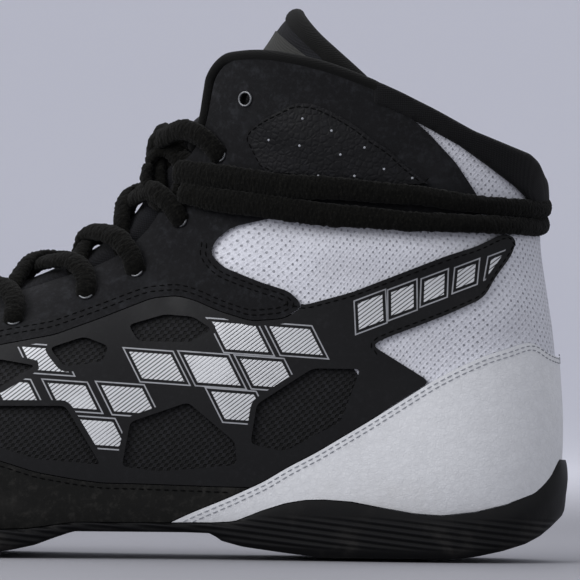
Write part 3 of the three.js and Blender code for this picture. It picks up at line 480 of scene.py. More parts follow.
def whiteKnit():
    f = Finish("knit_white", (206, 207, 215), 0.9, sheen=0.05, specular=0.2)
    u, v, _ = f.parts(f.attribute("wrap"))
    slope = f.math("ADD", v, f.math("MULTIPLY", u, -0.12))
    weave = f.math("MULTIPLY", f.wave(u, 2.0 * mm), f.wave(slope, 2.7 * mm))
    holes = f.ramp(weave, 0.5, 0.85)
    f.bump(holes, -0.0003, 0.8)
    f.bump(f.math("MULTIPLY", f.wave(u, 1.0 * mm), f.wave(slope, 1.35 * mm)), 0.00008, 0.5)
    f.bump(f.noise(1300, 4, 0.7), 0.00022, 0.9)
    f.tint(f.math("MULTIPLY", holes, f.ramp(f.noise(260, 3), 0.35, 0.65, 0.25, 0.9)), (112, 113, 120))
    f.tint(f.ramp(f.noise(1300, 4, 0.7), 0.42, 0.7, 0, 0.7), (172, 173, 181))
    f.tint(f.ramp(f.noise(45, 3), 0.45, 0.75, 0, 0.3), (186, 186, 192))
    return f.material


def blackMesh():
    f = Finish("mesh_black", (15, 15, 17), 0.75, sheen=0.02, specular=0.2)
    x, y, z = f.parts()
    lean = f.math("MULTIPLY_ADD", z, 0.3, x)
    lattice = f.math("MULTIPLY", f.wave(lean, 2.3 * mm), f.wave(z, 2.2 * mm))
    holes = f.ramp(lattice, -0.05, 0.3)
    f.bump(f.ramp(lattice, 0.4, -0.2), 0.0004, 1.0)
    f.bump(f.noise(1500, 2), 0.0001, 0.5)
    f.tint(f.ramp(f.noise(500, 3), 0.4, 0.7, 0, 0.4), (34, 34, 38))
    f.tint(holes, (1, 1, 1))
    return f.material


def nappedLeather(name, colour, light, scale):
    f = Finish(name, colour, 0.9, sheen=0.03, specular=0.16)
    f.bump(f.noise(scale, 6, 0.7), 0.00016, 0.8)
    f.bump(f.noise(170, 3), 0.0003, 0.3)
    f.tint(f.ramp(f.noise(scale * 0.8, 6, 0.75), 0.48, 0.72, 0, 0.55), light)
    f.tint(f.ramp(f.noise(260, 5, 0.7), 0.5, 0.72, 0, 0.75), light)
    f.tint(f.ramp(f.noise(60, 4, 0.6), 0.5, 0.75, 0, 0.4), light)
    return f.material


def pebbledLeather():
    f = Finish("leather_black", (13, 13, 15), 0.65, specular=0.14)
    pebbles = f.cells(560, "SMOOTH_F1", vector=None)
    edges = f.cells(560, "DISTANCE_TO_EDGE")
    f.bump(f.ramp(edges, 0.0, 0.3), 0.0002, 0.5)
    f.bump(f.noise(1600, 3), 0.00006, 0.5)
    f.tint(f.ramp(pebbles, 0.0, 0.5, 0.5, 0.0), (26, 26, 29))
    f.polish(f.noise(200), 0.5, 0.7)
    return f.material


def blackFilm():
    f = Finish("film_black", (13, 13, 15), 0.6, specular=0.18)
    f.bump(f.noise(1300, 3), 0.00006, 0.6)
    f.bump(f.noise(120, 3), 0.00015, 0.3)
    f.tint(f.ramp(f.noise(700, 4), 0.5, 0.8, 0, 0.35), (32, 32, 35))
    f.polish(f.noise(90), 0.42, 0.6)
    return f.material


def silverHatch():
    f = Finish("print_silver", (196, 197, 200), 0.42, metallic=0.4)
    x, y, z = f.parts()
    across = f.math("ADD", f.math("MULTIPLY", x, 0.62), f.math("MULTIPLY", z, 0.785))
    line = f.wave(across, 0.98 * mm)
    f.tint(f.ramp(line, -0.5, -0.75), (30, 30, 33))
    f.tint(f.ramp(f.noise(60, 3), 0.45, 0.75, 0, 0.4), (214, 215, 218))
    f.bump(f.ramp(line, -0.7, -0.3), 0.00005, 0.5)
    return f.material


def silverLine():
    f = Finish("keyline_silver", (150, 151, 155), 0.4, metallic=0.5)
    f.bump(f.noise(900, 2), 0.00004, 0.4)
    f.tint(f.ramp(f.noise(240, 3), 0.5, 0.7, 0, 0.5), (112, 112, 116))
    return f.material


def blackRubber():
    f = Finish("rubber_black", (7, 7, 8), 0.55, specular=0.16)
    f.bump(f.noise(1400, 2), 0.00007, 0.5)
    f.bump(f.noise(150, 3), 0.00015, 0.3)
    x, y, z = f.parts()
    mould = f.math("MULTIPLY", f.ramp(z, 0.002, 0.004), f.ramp(z, 0.013, 0.01))
    lines = f.math("MULTIPLY", f.wave(f.math("MULTIPLY_ADD", x, -0.12, z), 1.9 * mm), mould)
    f.bump(lines, 0.00022, 0.9)
    # Painted highlight: the moulded ridges are tinted lighter, as if catching the light, on top of their real
    # bump.
    f.tint(f.ramp(lines, 0.2, 0.9, 0, 0.25), (30, 30, 33))
    dust = f.math("MULTIPLY", f.ramp(f.noise(70, 6, 0.65), 0.5, 0.78), f.ramp(z, 0.02, 0.0, 0.15, 0.8))
    f.tint(dust, (46, 44, 42))
    f.polish(f.noise(55), 0.42, 0.66)
    return f.material


def laceBraid():
    f = Finish("lace_black", (9, 9, 8), 1.0, sheen=0.04, specular=0.05)
    along, around, _ = f.parts(f.attribute("braid"))
    one = f.wave(f.math("ADD", along, f.math("MULTIPLY", around, 1.5 * mm)), 1.5 * mm)
    two = f.wave(f.math("SUBTRACT", along, f.math("MULTIPLY", around, 1.5 * mm)), 1.5 * mm)
    weave = f.math("MAXIMUM", one, two)
    f.bump(weave, 0.00012, 0.5)
    f.bump(f.noise(1500, 5, 0.75), 0.0003, 1.0)
    f.tint(f.ramp(f.noise(1600, 5, 0.8), 0.48, 0.68, 0, 0.6), (34, 33, 30))
    f.tint(f.ramp(weave, -0.2, 0.6, 0.35, 0), (3, 3, 3))
    return f.material


def paddedCloth(name, colour, light, pitch):
    f = Finish(name, colour, 0.95, sheen=0.03, specular=0.12)
    x, y, z = f.parts()
    weave = f.math("MULTIPLY", f.wave(f.math("ADD", x, z), pitch),
        f.wave(f.math("SUBTRACT", f.math("ADD", z, y), x), pitch))
    f.bump(weave, 0.0001, 0.7)
    f.bump(f.noise(1100, 3), 0.00012, 0.6)
    f.tint(f.ramp(weave, -0.1, 0.8, 0, 0.5), light)
    f.tint(f.ramp(f.noise(70, 4), 0.5, 0.75, 0, 0.4), light)
    return f.material


def thread(name, colour):
    f = Finish(name, colour, 0.8, specular=0.08)
    f.bump(f.noise(2600, 2), 0.00005, 0.8)
    f.tint(f.ramp(f.noise(500, 2), 0.45, 0.7, 0, 0.3), tuple(int(c * 0.75) for c in colour))
    return f.material


def eyeletMetal():
    f = Finish("eyelet_metal", (104, 105, 108), 0.42, metallic=0.9)
    f.bump(f.noise(700, 2), 0.00003, 0.4)
    f.tint(f.ramp(f.noise(300, 3), 0.5, 0.75, 0, 0.5), (66, 66, 69))
    return f.material


finish = {
    "counter": whiteLeather(), "knit": whiteKnit(), "mesh": blackMesh(),
    "nubuck": nappedLeather("nubuck_black", (15, 15, 17), (35, 36, 39), 900),
    "suede": nappedLeather("suede_black", (19, 19, 18), (40, 39, 37), 650),
    "pebbled": pebbledLeather(), "film": blackFilm(), "hatch": silverHatch(), "keyline": silverLine(),
    "rubber": blackRubber(), "lace": laceBraid(),
    "collar": paddedCloth("padding_black", (14, 14, 15), (27, 27, 29), 1.1 * mm),
    "tongue": paddedCloth("tongue_grey", (48, 48, 47), (62, 62, 60), 1.3 * mm),
    "tongueBack": paddedCloth("tongue_black", (18, 18, 20), (33, 34, 38), 1.2 * mm),
    "lining": paddedCloth("lining_black", (20, 20, 22), (34, 34, 37), 0.9 * mm),
    "binding": paddedCloth("binding_black", (11, 11, 11), (24, 24, 24), 0.8 * mm),
    "greyThread": thread("thread_grey", (150, 152, 158)), "blackThread": thread("thread_black", (3, 3, 3)),
    "metal": eyeletMetal(),
}
print("finishes made")


# Meshes and cuts

def meshObject(name, vertices, faces, material=None):
    mesh = bpy.data.meshes.new(name)
    mesh.from_pydata([tuple(map(float, v)) for v in vertices], [], [tuple(map(int, f)) for f in faces])
    mesh.validate()
    if material:
        mesh.materials.append(material)
    obj = bpy.data.objects.new(name, mesh)
    bpy.context.scene.collection.objects.link(obj)
    return obj


def gridFaces(rows, around, start=0, flip=False):
    i, j = np.meshgrid(np.arange(rows - 1), np.arange(around), indexing="ij")
    a = start + i * around + j
    b = start + i * around + (j + 1) % around
    order = (a, a + around, b + around, b) if not flip else (a, b, b + around, a + around)
    return np.stack(order, axis=-1).reshape(-1, 4).tolist()


def formSkin(offset, rows, around):
    place = np.linspace(0, lastPlace, rows)[:, None]
    turn = (-np.pi + 2 * np.pi * np.arange(around) / around)[None, :]
    ends = surface(np.array([0.0, lastPlace]), np.array([0.5, 0.5]) * np.pi, 0, False)
    ends[:, 1] = formPoints(np.array([0.0, lastPlace]), 0)[:, 1]
    ends[0, 0] += offset
    return surface(place, turn, offset).reshape(-1, 3), ends


def formShell(name, inner, outer, rows=210, around=150):
    vertices, faces = [], []
    for offset, flip in ((outer, False), (inner, True)):
        if offset is None:
            continue
        skin, ends = formSkin(offset, rows, around)
        start = len(vertices)
        vertices.extend(skin.tolist())
        vertices.extend(ends.tolist())
        faces.extend(gridFaces(rows, around, start, flip))
        tip, top, end = start + rows * around, start + rows * around + 1, start + (rows - 1) * around
        for j in range(around):
            n = (j + 1) % around
            faces.append((tip, start + j, start + n)[::-1 if flip else 1])
            faces.append((top, end + n, end + j)[::-1 if flip else 1])
    return meshObject(name, vertices, faces)


def spoke(first, second, angle):
    return first * math.cos(angle) + second * math.sin(angle)


def prism(name, outlines, low=-reach, high=reach):
    vertices, faces = [], []
    for outline in outlines:
        outline = np.asarray(outline, float)
        area = np.sum(outline[:, 0] * np.roll(outline[:, 1], -1)
                      - np.roll(outline[:, 0], -1) * outline[:, 1])
        if area > 0:
            outline = outline[::-1]
        count, start = len(outline), len(vertices)
        vertices.extend([(x, low, z) for x, z in outline])
        vertices.extend([(x, high, z) for x, z in outline])
        faces.append(tuple(range(start + count - 1, start - 1, -1)))
        faces.append(tuple(range(start + count, start + 2 * count)))
        for i in range(count):
            n = (i + 1) % count
            faces.append((start + i, start + n, start + count + n, start + count + i))
    return meshObject(name, vertices, faces)


def cut(obj, tool, operation):
    modifier = obj.modifiers.new("cut", "BOOLEAN")
    modifier.object = tool
    modifier.operation = operation
    modifier.solver = "MANIFOLD"
    graph = bpy.context.evaluated_depsgraph_get()
    made = bpy.data.meshes.new_from_object(obj.evaluated_get(graph))
    obj.modifiers.clear()
    old = obj.data
    obj.data = made
    bpy.data.meshes.remove(old)
    return obj


def copyOf(obj, name):
    made = obj.copy()
    made.data = obj.data.copy()
    made.name = name
    bpy.context.scene.collection.objects.link(made)
    return made


def cutFrom(blank, name, keep=(), remove=()):
    obj = copyOf(blank, name)
    for tool in keep:
        cut(obj, tool, "INTERSECT")
    for tool in remove:
        cut(obj, tool, "DIFFERENCE")
    return obj


def smoothShade(obj, angle=32):
    obj.data.shade_smooth()
    obj.data.set_sharp_from_angle(angle=math.radians(angle))


def dress(obj, material, nodes, angle=32):
    if material:
        obj.data.materials.clear()
        obj.data.materials.append(material)
    if angle:
        smoothShade(obj, angle)
    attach(obj, "root")
    if nodes:
        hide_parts(*nodes)
    return obj


def wrapCoords(obj, centreX=8 * mm, radius=36 * mm):
    count = len(obj.data.vertices)
    points = np.empty(count * 3)
    obj.data.vertices.foreach_get("co", points)
    points = points.reshape(-1, 3)
    angle = np.arctan2(points[:, 1], -(points[:, 0] - centreX))
    coords = np.stack([angle * radius, points[:, 2], np.zeros(count)], axis=1)
    attribute = obj.data.attributes.new("wrap", "FLOAT_VECTOR", "POINT")
    attribute.data.foreach_set("vector", coords.ravel())


def tubeMesh(name, centres, normals, width, thickness, material, sides=14):
    centres = np.asarray(centres, float)
    normals = np.asarray(normals, float)
    tangents = np.gradient(centres, axis=0)
    tangents /= np.linalg.norm(tangents, axis=1, keepdims=True)
    normals = normals - np.sum(normals * tangents, axis=1, keepdims=True) * tangents
    normals /= np.linalg.norm(normals, axis=1, keepdims=True)
    across = np.cross(tangents, normals)
    angle = 2 * np.pi * np.arange(sides) / sides
    count = len(centres)
    taper = np.ones(count)
    taper[0] = taper[-1] = 0.45
    taper[1] = taper[-2] = 0.85
    ring = (normals[:, None, :] * np.sin(angle)[None, :, None] * thickness / 2
            + across[:, None, :] * np.cos(angle)[None, :, None] * width / 2)
    vertices = (centres[:, None, :] + ring * taper[:, None, None]).reshape(-1, 3).tolist()
    faces = gridFaces(count, sides)
    vertices.extend([centres[0].tolist(), centres[-1].tolist()])
    for j in range(sides):
        n = (j + 1) % sides
        faces.append((count * sides, j, n))
        faces.append((count * sides + 1, (count - 1) * sides + n, (count - 1) * sides + j))
    obj = meshObject(name, vertices, faces, material)
    travelled = np.concatenate([[0], np.cumsum(np.linalg.norm(np.diff(centres, axis=0), axis=1))])
    coords = np.zeros((count * sides + 2, 3))
    coords[:count * sides, 0] = np.repeat(travelled, sides)
    coords[:count * sides, 1] = np.tile(np.abs(angle - np.pi) / np.pi * 2, count)
    coords[count * sides + 1, 0] = travelled[-1]
    attribute = obj.data.attributes.new("braid", "FLOAT_VECTOR", "POINT")
    attribute.data.foreach_set("vector", coords.ravel())
    obj.data.shade_smooth()
    return fixNormals(obj)


def fixNormals(obj):
    mesh = bmesh.new()
    mesh.from_mesh(obj.data)
    bmesh.ops.recalc_face_normals(mesh, faces=mesh.faces)
    mesh.to_mesh(obj.data)
    mesh.free()
    return obj


def joined(objects, name):
    for obj in bpy.context.selected_objects:
        obj.select_set(False)
    for obj in objects:
        obj.select_set(True)
    bpy.context.view_layer.objects.active = objects[0]
    bpy.ops.object.join()
    objects[0].name = name
    return objects[0]


# Outlines seen from the side, as shares of the sole's length and the shaft's height
outlines = {
    "counter": [
        (-0.06, 0.393), (0.0095, 0.397), (0.024, 0.4066), (0.038, 0.426), (0.0495, 0.428), (0.067, 0.416),
        (0.0926, 0.4007), (0.122, 0.375), (0.147, 0.349), (0.2116, 0.27), (0.267, 0.206), (0.297, 0.176),
        (0.322, 0.147), (0.359, 0.1145), (0.398, 0.084), (0.43, 0.055), (0.43, -0.1), (-0.06, -0.1),
    ],
    "mudguard": [
        (0.28, 0.134), (0.37, 0.136), (0.451, 0.14), (0.49, 0.141), (0.517, 0.147), (0.559, 0.1605),
        (0.602, 0.185), (0.667, 0.213), (0.744, 0.229), (0.82, 0.238), (0.87, 0.252), (0.905, 0.285),
        (0.925, 0.34), (0.93, 0.45), (1.1, 0.45), (1.1, -0.1), (0.28, -0.1),
    ],
    "eyestay": [
        (0.8, 0.55), (0.8, 0.355), (0.758, 0.318), (0.705, 0.335), (0.653, 0.375), (0.602, 0.41),
        (0.543, 0.432), (0.495, 0.466), (0.441, 0.507), (0.415, 0.512), (0.396, 0.503), (0.37, 0.482),
        (0.337, 0.464), (0.302, 0.47), (0.283, 0.495), (0.297, 0.522), (0.33, 0.541), (0.368, 0.569),
        (0.381, 0.595), (0.376, 0.621), (0.358, 0.648), (0.316, 0.666), (0.21, 0.664), (0.095, 0.674),
        (0.102, 0.716), (0.125, 0.779), (0.153, 0.834), (0.173, 0.867), (0.2, 0.9), (0.2, 1.2),
        (0.48, 1.2), (0.55, 0.8),
    ],
    "anklePanel": [
        (0.328, 0.757), (0.34, 0.802), (0.346, 0.829), (0.329, 0.858), (0.308, 0.878), (0.293, 0.893),
        (0.272, 0.889), (0.248, 0.868), (0.228, 0.845), (0.212, 0.82), (0.196, 0.803), (0.18, 0.774),
        (0.161, 0.746), (0.152, 0.736), (0.2, 0.736), (0.27, 0.75),
    ],
    "sideBand": [
        (0.0603, 0.624), (0.063, 0.635), (0.071, 0.6414), (0.079, 0.6375), (0.102, 0.616), (0.134, 0.596),
        (0.2326, 0.522), (0.283, 0.495), (0.37, 0.56), (0.44, 0.56), (0.62, 0.45), (0.76, 0.345),
        (0.8, 0.3), (0.8, 0.1), (0.3, 0.1), (0.2116, 0.27), (0.149, 0.349), (0.2105, 0.419),
        (0.1937, 0.4355), (0.1705, 0.452), (0.1316, 0.4816), (0.098, 0.511), (0.0905, 0.525),
        (0.083, 0.5526), (0.0653, 0.598),
    ],
    "windows": [
        [(0.222, 0.372), (0.272, 0.372), (0.33, 0.3), (0.336, 0.222), (0.3, 0.208), (0.242, 0.268)],
        [(0.35, 0.18), (0.352, 0.225), (0.402, 0.302), (0.462, 0.262), (0.47, 0.175), (0.43, 0.166)],
        [(0.492, 0.178), (0.53, 0.292), (0.63, 0.29), (0.676, 0.255), (0.64, 0.235), (0.56, 0.188)],
        [(0.378, 0.446), (0.398, 0.47), (0.428, 0.474), (0.466, 0.452), (0.455, 0.42), (0.4, 0.42)],
        [(0.486, 0.41), (0.512, 0.428), (0.548, 0.405), (0.532, 0.368), (0.492, 0.38)],
        [(0.562, 0.37), (0.602, 0.382), (0.68, 0.335), (0.72, 0.3), (0.7, 0.275), (0.6, 0.325)],
    ],
    "flap": [
        (0.205, 0.93), (0.216, 0.941), (0.2653, 0.9737), (0.3193, 0.9934), (0.359, 0.9914),
        (0.3747, 0.9776), (0.386, 0.947), (0.3895, 0.9145), (0.395, 0.8526), (0.4095, 0.794),
    ],
    "collarTop": [
        (0.205, 0.93), (0.1842, 0.913), (0.1453, 0.8776), (0.1063, 0.8388), (0.0674, 0.811),
        (0.0456, 0.796), (0.0358, 0.7796), (0.027, 0.745), (-0.06, 0.74),
    ],
    "collarSeam": [
        (0.205, 0.892), (0.1726, 0.867), (0.1607, 0.855), (0.1217, 0.8158), (0.0863, 0.77),
        (0.0632, 0.7388), (0.0463, 0.711), (0.028, 0.69), (-0.06, 0.69),
    ],
    "white": [
        (-0.1, -0.1), (-0.1, 1.3), (0.19, 1.3), (0.19, 0.7), (0.4, 0.66), (0.4, 0.56), (0.26, 0.45),
        (0.2, 0.3), (0.2, -0.1),
    ],
}
eyeletPlaces = sidePairs([
    (0.7228, 0.355), (0.656, 0.4046), (0.586, 0.452), (0.5105, 0.506), (0.4575, 0.556),
    (0.4105, 0.66), (0.3705, 0.7895), (0.3439, 0.8987),
])
throatTable = np.array([
    (6.7, 0.03), (6.85, 0.09), (7.1, 0.125), (10, 0.125), (13, 0.13), (16, 0.14), (25, 0.17),
])


def lineUnder(heightAt, lift):
    at = 0.5 - 0.5 * np.cos(np.pi * np.arange(161) / 160)
    top = np.stack([at * sole - last["heelRest"], heightAt(at) + lift], axis=1)
    ends = [(reach + sole, top[-1, 1]), (reach + sole, -reach), (-reach, -reach), (-reach, top[0, 1])]
    return np.concatenate([top, ends])


def throatTool(extra):
    place = np.concatenate([np.linspace(6.7, 7.1, 12), np.linspace(7.3, lastPlace, 60)])
    half = np.interp(place, *throatTable.T) * last["ballWidth"] + extra
    front, out = formPoints(place, np.pi), formNormals(place, np.pi)
    deep, high = front - out * 14 * mm, front + out * 14 * mm
    sideways = np.stack([np.zeros(len(place)), half, np.zeros(len(place))], axis=1)
    rings = np.stack([deep + sideways, high + sideways, high - sideways, deep - sideways], axis=1)
    vertices = rings.reshape(-1, 3).tolist()
    faces = gridFaces(len(place), 4)
    faces += [(0, 1, 2, 3)[::-1], tuple(len(vertices) - 4 + k for k in range(4))]
    return fixNormals(meshObject("throat_tool", vertices, faces))


def eyeletTool():
    vertices, faces = [], []
    sides = 16
    for side in (1, -1):
        for x, z in eyeletPlaces:
            place, turn = seenFromSide(x, z)
            centre, out = surface(place, side * turn), formNormals(place, side * turn)
            first = np.cross(out, (0, 0, 1.0))
            first /= np.linalg.norm(first)
            second = np.cross(out, first)
            start = len(vertices)
            for depth in (-6 * mm, 6 * mm):
                for k in range(sides):
                    a = 2 * np.pi * k / sides
                    vertices.append(centre + out * depth + spoke(first, second, a) * 2.0 * mm)
            faces += gridFaces(2, sides, start)
            faces += [tuple(range(start, start + sides))[::-1],
                tuple(range(start + sides, start + 2 * sides))]
    return fixNormals(meshObject("eyelet_tool", vertices, faces))


def sideTools():
    gap = last["gap"]
    flap = np.concatenate([
        sidePairs(outlines["flap"]),
        sidePairs([(0.45, 0.76), (0.56, 0.8), (0.56, 2), (0.205, 2)]),
    ])
    collarCut = np.concatenate([
        sidePairs(outlines["collarSeam"])[::-1],
        sidePairs([(0.206, 0.9), (0.206, 2), (-0.06, 2)]),
    ])
    bandTop, bandSeam = (
        sidePairs([(0.213, 0.935)] + outlines["collarTop"]),
        sidePairs([(0.213, 0.896)] + outlines["collarSeam"]),
    )
    band = np.concatenate([bandTop + (0, 0.6 * mm), bandSeam[::-1] - (0, 0.5 * mm)])
    tools = {
        "flap": prism("flap_tool", [grown(softCorners(flap, 3 * mm), 1.6 * last["binding"])]),
        "collarCut": prism("collar_cut", [collarCut]),
        "collarBand": prism("collar_band", [band]),
        "footbed": prism("footbed_tool", [lineUnder(footbedAt, gap)]),
        "throat": throatTool(0), "throatWide": throatTool(0.5 * mm), "holes": eyeletTool(),
        "white": prism("white_tool", [sidePairs(outlines["white"])]),
        "outer": prism("outer_tool", [[(-1, -1), (1, -1), (1, 1), (-1, 1)]], 0, reach),
        "inner": prism("inner_tool", [[(-1, -1), (1, -1), (1, 1), (-1, 1)]], -reach, 0),
        "windows": prism("window_tool", [softCorners(sidePairs(w), 1.6 * mm) for w in outlines["windows"]]),
    }
    for key in ("counter", "mudguard", "eyestay", "anklePanel", "sideBand"):
        edge = softCorners(sidePairs(outlines[key]), 2.2 * mm)
        tools[key] = prism(key + "_tool", [edge])
        tools[key + "Wide"] = prism(key + "_wide", [grown(edge, gap)])
    return tools


# Sole: the side wall carries a swelling at the heel and faint ribs

soleData = {"stations": 220, "ribPitch": 2.1 * mm, "ribDepth": 0.22 * mm}
soleSide = np.array([
    (0, 1.3), (0.05, 0.85), (0.14, 0.5), (0.27, 0.33), (0.4, 0.25), (0.53, 0.1), (0.66, 0), (0.76, 0.02),
    (0.86, 0.1), (0.94, 0.22), (1, 0.4),
])


def soleMesh(lift, name="outsole"):
    count = soleData["stations"]
    at = 0.5 - 0.5 * np.cos(np.pi * (np.arange(count) + 0.3) / (count - 0.4))
    centre, outer, inner = soleOutline(at)
    loops = []
    for level, inset in soleSide:
        z = undersideAt(at) + (rubberEdgeAt(at) - undersideAt(at)) * level + lift
        ribs = np.sin(2 * np.pi * (at * sole + 0.35 * z) / soleData["ribPitch"])
        ribs = np.maximum(0, ribs) * softStep(level, 0.15, 0.3) * (1 - softStep(level, 0.6, 0.75))
        zone = softStep(at, 0.02, 0.06) * (1 - softStep(at, 0.14, 0.24))
        shift = inset * last["overhang"] + soleData["ribDepth"] * ribs * zone
        x = at * sole - last["heelRest"] + shift * (1 - 2 * at)
        outerSide = np.stack([x, centre + np.maximum(0.4 * mm, outer - shift), z], axis=1)
        innerSide = np.stack([x, centre - np.maximum(0.4 * mm, inner - shift), z], axis=1)
        loops.append(np.concatenate([outerSide, innerSide[::-1]]))
    around = 2 * count
    vertices = np.concatenate(loops)
    faces = gridFaces(len(loops), around)
    top = (len(loops) - 1) * around
    for i in range(count - 1):
        faces.append((i, i + 1, around - 2 - i, around - 1 - i))
        faces.append((top + i, top + around - 1 - i, top + around - 2 - i, top + i + 1))
    return fixNormals(meshObject(name, vertices, faces))


def treadTool():
    bars = []
    for at in (0.07, 0.245, 0.635, 0.68, 0.725, 0.77, 0.815):
        x, top = at * sole - last["heelRest"], float(undersideAt(at)) + 1.2 * mm
        bars.append([(x - 1.2 * mm, -0.05), (x + 1.2 * mm, -0.05), (x + 0.8 * mm, top),
            (x - 0.8 * mm, top)])
    return prism("tread_tool", bars, -22 * mm, 22 * mm)


# Rows of stitches, made by Geometry Nodes along a line

stitchData = {"pitch": 2.5 * mm, "length": 1.75 * mm, "thickness": 0.42 * mm}


def stitchTree():
    tree = bpy.data.node_groups.new("stitch row", "GeometryNodeTree")
    face = tree.interface
    face.new_socket("Geometry", in_out="INPUT", socket_type="NodeSocketGeometry")
    for name, value in (("Pitch", 0.0025), ("Length", 0.00175), ("Thickness", 0.00042)):
        face.new_socket(name, in_out="INPUT", socket_type="NodeSocketFloat").default_value = value
    face.new_socket("Thread", in_out="INPUT", socket_type="NodeSocketMaterial")
    face.new_socket("Geometry", in_out="OUTPUT", socket_type="NodeSocketGeometry")
    nodes, links = tree.nodes, tree.links
    given, result = nodes.new("NodeGroupInput"), nodes.new("NodeGroupOutput")
    even = nodes.new("GeometryNodeResampleCurve")
    even.mode = "LENGTH"
    sphere = nodes.new("GeometryNodeMeshUVSphere")
    sphere.inputs["Segments"].default_value = 8
    sphere.inputs["Rings"].default_value = 5
    sphere.inputs["Radius"].default_value = 0.5
    size = nodes.new("ShaderNodeCombineXYZ")
    tangent = nodes.new("GeometryNodeInputTangent")
    align = nodes.new("FunctionNodeAlignRotationToVector")
    align.axis = "Z"
    place = nodes.new("GeometryNodeInstanceOnPoints")
    realize = nodes.new("GeometryNodeRealizeInstances")
    shade = nodes.new("GeometryNodeSetShadeSmooth")
    paint = nodes.new("GeometryNodeSetMaterial")
    links.new(given.outputs["Geometry"], even.inputs["Curve"])
    links.new(given.outputs["Pitch"], even.inputs["Length"])
    links.new(even.outputs["Curve"], place.inputs["Points"])
    links.new(sphere.outputs["Mesh"], place.inputs["Instance"])
    links.new(tangent.outputs["Tangent"], align.inputs["Vector"])
    links.new(align.outputs["Rotation"], place.inputs["Rotation"])
    for axis, name in (("X", "Thickness"), ("Y", "Thickness"), ("Z", "Length")):
        links.new(given.outputs[name], size.inputs[axis])
    links.new(size.outputs["Vector"], place.inputs["Scale"])
    links.new(place.outputs["Instances"], realize.inputs["Geometry"])
    links.new(realize.outputs["Geometry"], shade.inputs["Geometry"])
    links.new(shade.outputs["Geometry"], paint.inputs["Geometry"])
    links.new(given.outputs["Thread"], paint.inputs["Material"])
    links.new(paint.outputs["Geometry"], result.inputs["Geometry"])
    return tree


stitchGroup = stitchTree()


def stitchRow(name, lines, material, slotName, **sizes):
    curve = bpy.data.curves.new(name, "CURVE")
    curve.dimensions = "3D"
    for line in lines:
        line = evenLine(line, 0.8 * mm)
        spline = curve.splines.new("POLY")
        spline.points.add(len(line) - 1)
        spline.points.foreach_set("co", np.concatenate([line, np.ones((len(line), 1))], axis=1).ravel())
    obj = bpy.data.objects.new(name, curve)
    bpy.context.scene.collection.objects.link(obj)
    modifier = obj.modifiers.new("stitches", "NODES")
    modifier.node_group = stitchGroup
    values = {**stitchData, **sizes}
    for item in stitchGroup.interface.items_tree:
        if item.in_out == "INPUT" and item.name in ("Pitch", "Length", "Thickness"):
            modifier[item.identifier] = values[item.name.lower()]
        if item.in_out == "INPUT" and item.name == "Thread":
            modifier[item.identifier] = material
    graph = bpy.context.evaluated_depsgraph_get()
    mesh = bpy.data.meshes.new_from_object(obj.evaluated_get(graph))
    bpy.data.objects.remove(obj)
    made = bpy.data.objects.new(name, mesh)
    bpy.context.scene.collection.objects.link(made)
    return dress(made, material, (), angle=0)


def seamLines(outline, start, stop, inset, offset, sides=(1, -1)):
    edge = softCorners(outline, 2.2 * mm)
    edge = grown(edge, -inset)[start * 4:stop * 4]
    return [sideLine(evenLine(edge, 1.0 * mm), side, offset) for side in sides]


# Building the shoe

tools = sideTools()
overTop = last["gap"] + last["overlay"]
print("tools made")

outerSkin = formShell("outer_skin", -1.1 * mm, 0)
knit = cutFrom(outerSkin, "upper_knit", [tools["white"]],
               [tools["footbed"], tools["flap"], tools["collarCut"], tools["throat"], tools["holes"]])
wrapCoords(knit)
dress(knit, finish["knit"], ("upper",))
vamp = cutFrom(outerSkin, "upper_mesh", [],
               [tools["white"], tools["footbed"], tools["flap"], tools["collarCut"], tools["throat"],
                tools["holes"]])
dress(vamp, finish["mesh"], ("upper",))
innerSkin = formShell("inner_skin", -last["wall"], -1.15 * mm, 120, 96)
lining = cutFrom(innerSkin, "upper_lining", [],
                 [tools["footbed"], tools["flap"], tools["collarCut"], tools["throat"], tools["holes"]])
dress(lining, finish["lining"], ("upper",))
print("upper cut")

soleTool = soleMesh(last["gap"], "sole_tool")
overlaySkin = formShell("overlay_skin", last["gap"], overTop)
counter = cutFrom(overlaySkin, "heel_counter_leather", [tools["counter"]], [tools["footbed"], soleTool])
dress(counter, finish["counter"], ("heel_counter",))
mudguard = cutFrom(overlaySkin, "mudguard_suede", [tools["mudguard"]],
    [tools["footbed"], soleTool, tools["counterWide"]])
dress(mudguard, finish["suede"], ("mudguard",))
eyestay = cutFrom(overlaySkin, "eyestay_nubuck", [tools["eyestay"]],
                  [tools["flap"], tools["collarCut"], tools["throatWide"], tools["mudguardWide"],
                   tools["holes"]])
dress(eyestay, finish["nubuck"], ("eyestay",))
for side, name in ((1, "lateral"), (-1, "medial")):
    half = tools["outer"] if side > 0 else tools["inner"]
    band = cutFrom(overlaySkin, f"side_film_{name}", [half, tools["sideBand"]],
                   [tools["counterWide"], tools["mudguardWide"], tools["eyestayWide"], tools["windows"]])
    dress(band, finish["film"], (f"side_band_{name}",))
print("overlays cut")

panelSkin = formShell("panel_skin", overTop + last["gap"], overTop + last["gap"] + last["panel"])
for side, name in ((1, "lateral"), (-1, "medial")):
    half = tools["outer"] if side > 0 else tools["inner"]
    panel = cutFrom(panelSkin, f"ankle_leather_{name}", [half, tools["anklePanel"]])
    dress(panel, finish["pebbled"], (f"ankle_panel_{name}",))

# Silver tiles on the film: leaning four-sided tiles in loose rows, each with a thin line round it
tileData = {
    "pitchX": 16.6, "pitchZ": 10.4, "lean": 4.6, "width": 12.4, "height": 7.6, "frame": 0.85, "line": 0.4,
}


def inside(points, polygon):
    x, z = points[:, 0], points[:, 1]
    result = np.zeros(len(points), bool)
    for (x1, z1), (x2, z2) in zip(polygon, np.roll(polygon, -1, axis=0)):
        if z1 != z2:
            result ^= ((z1 > z) != (z2 > z)) & (x < (x2 - x1) * (z - z1) / (z2 - z1) + x1)
    return result


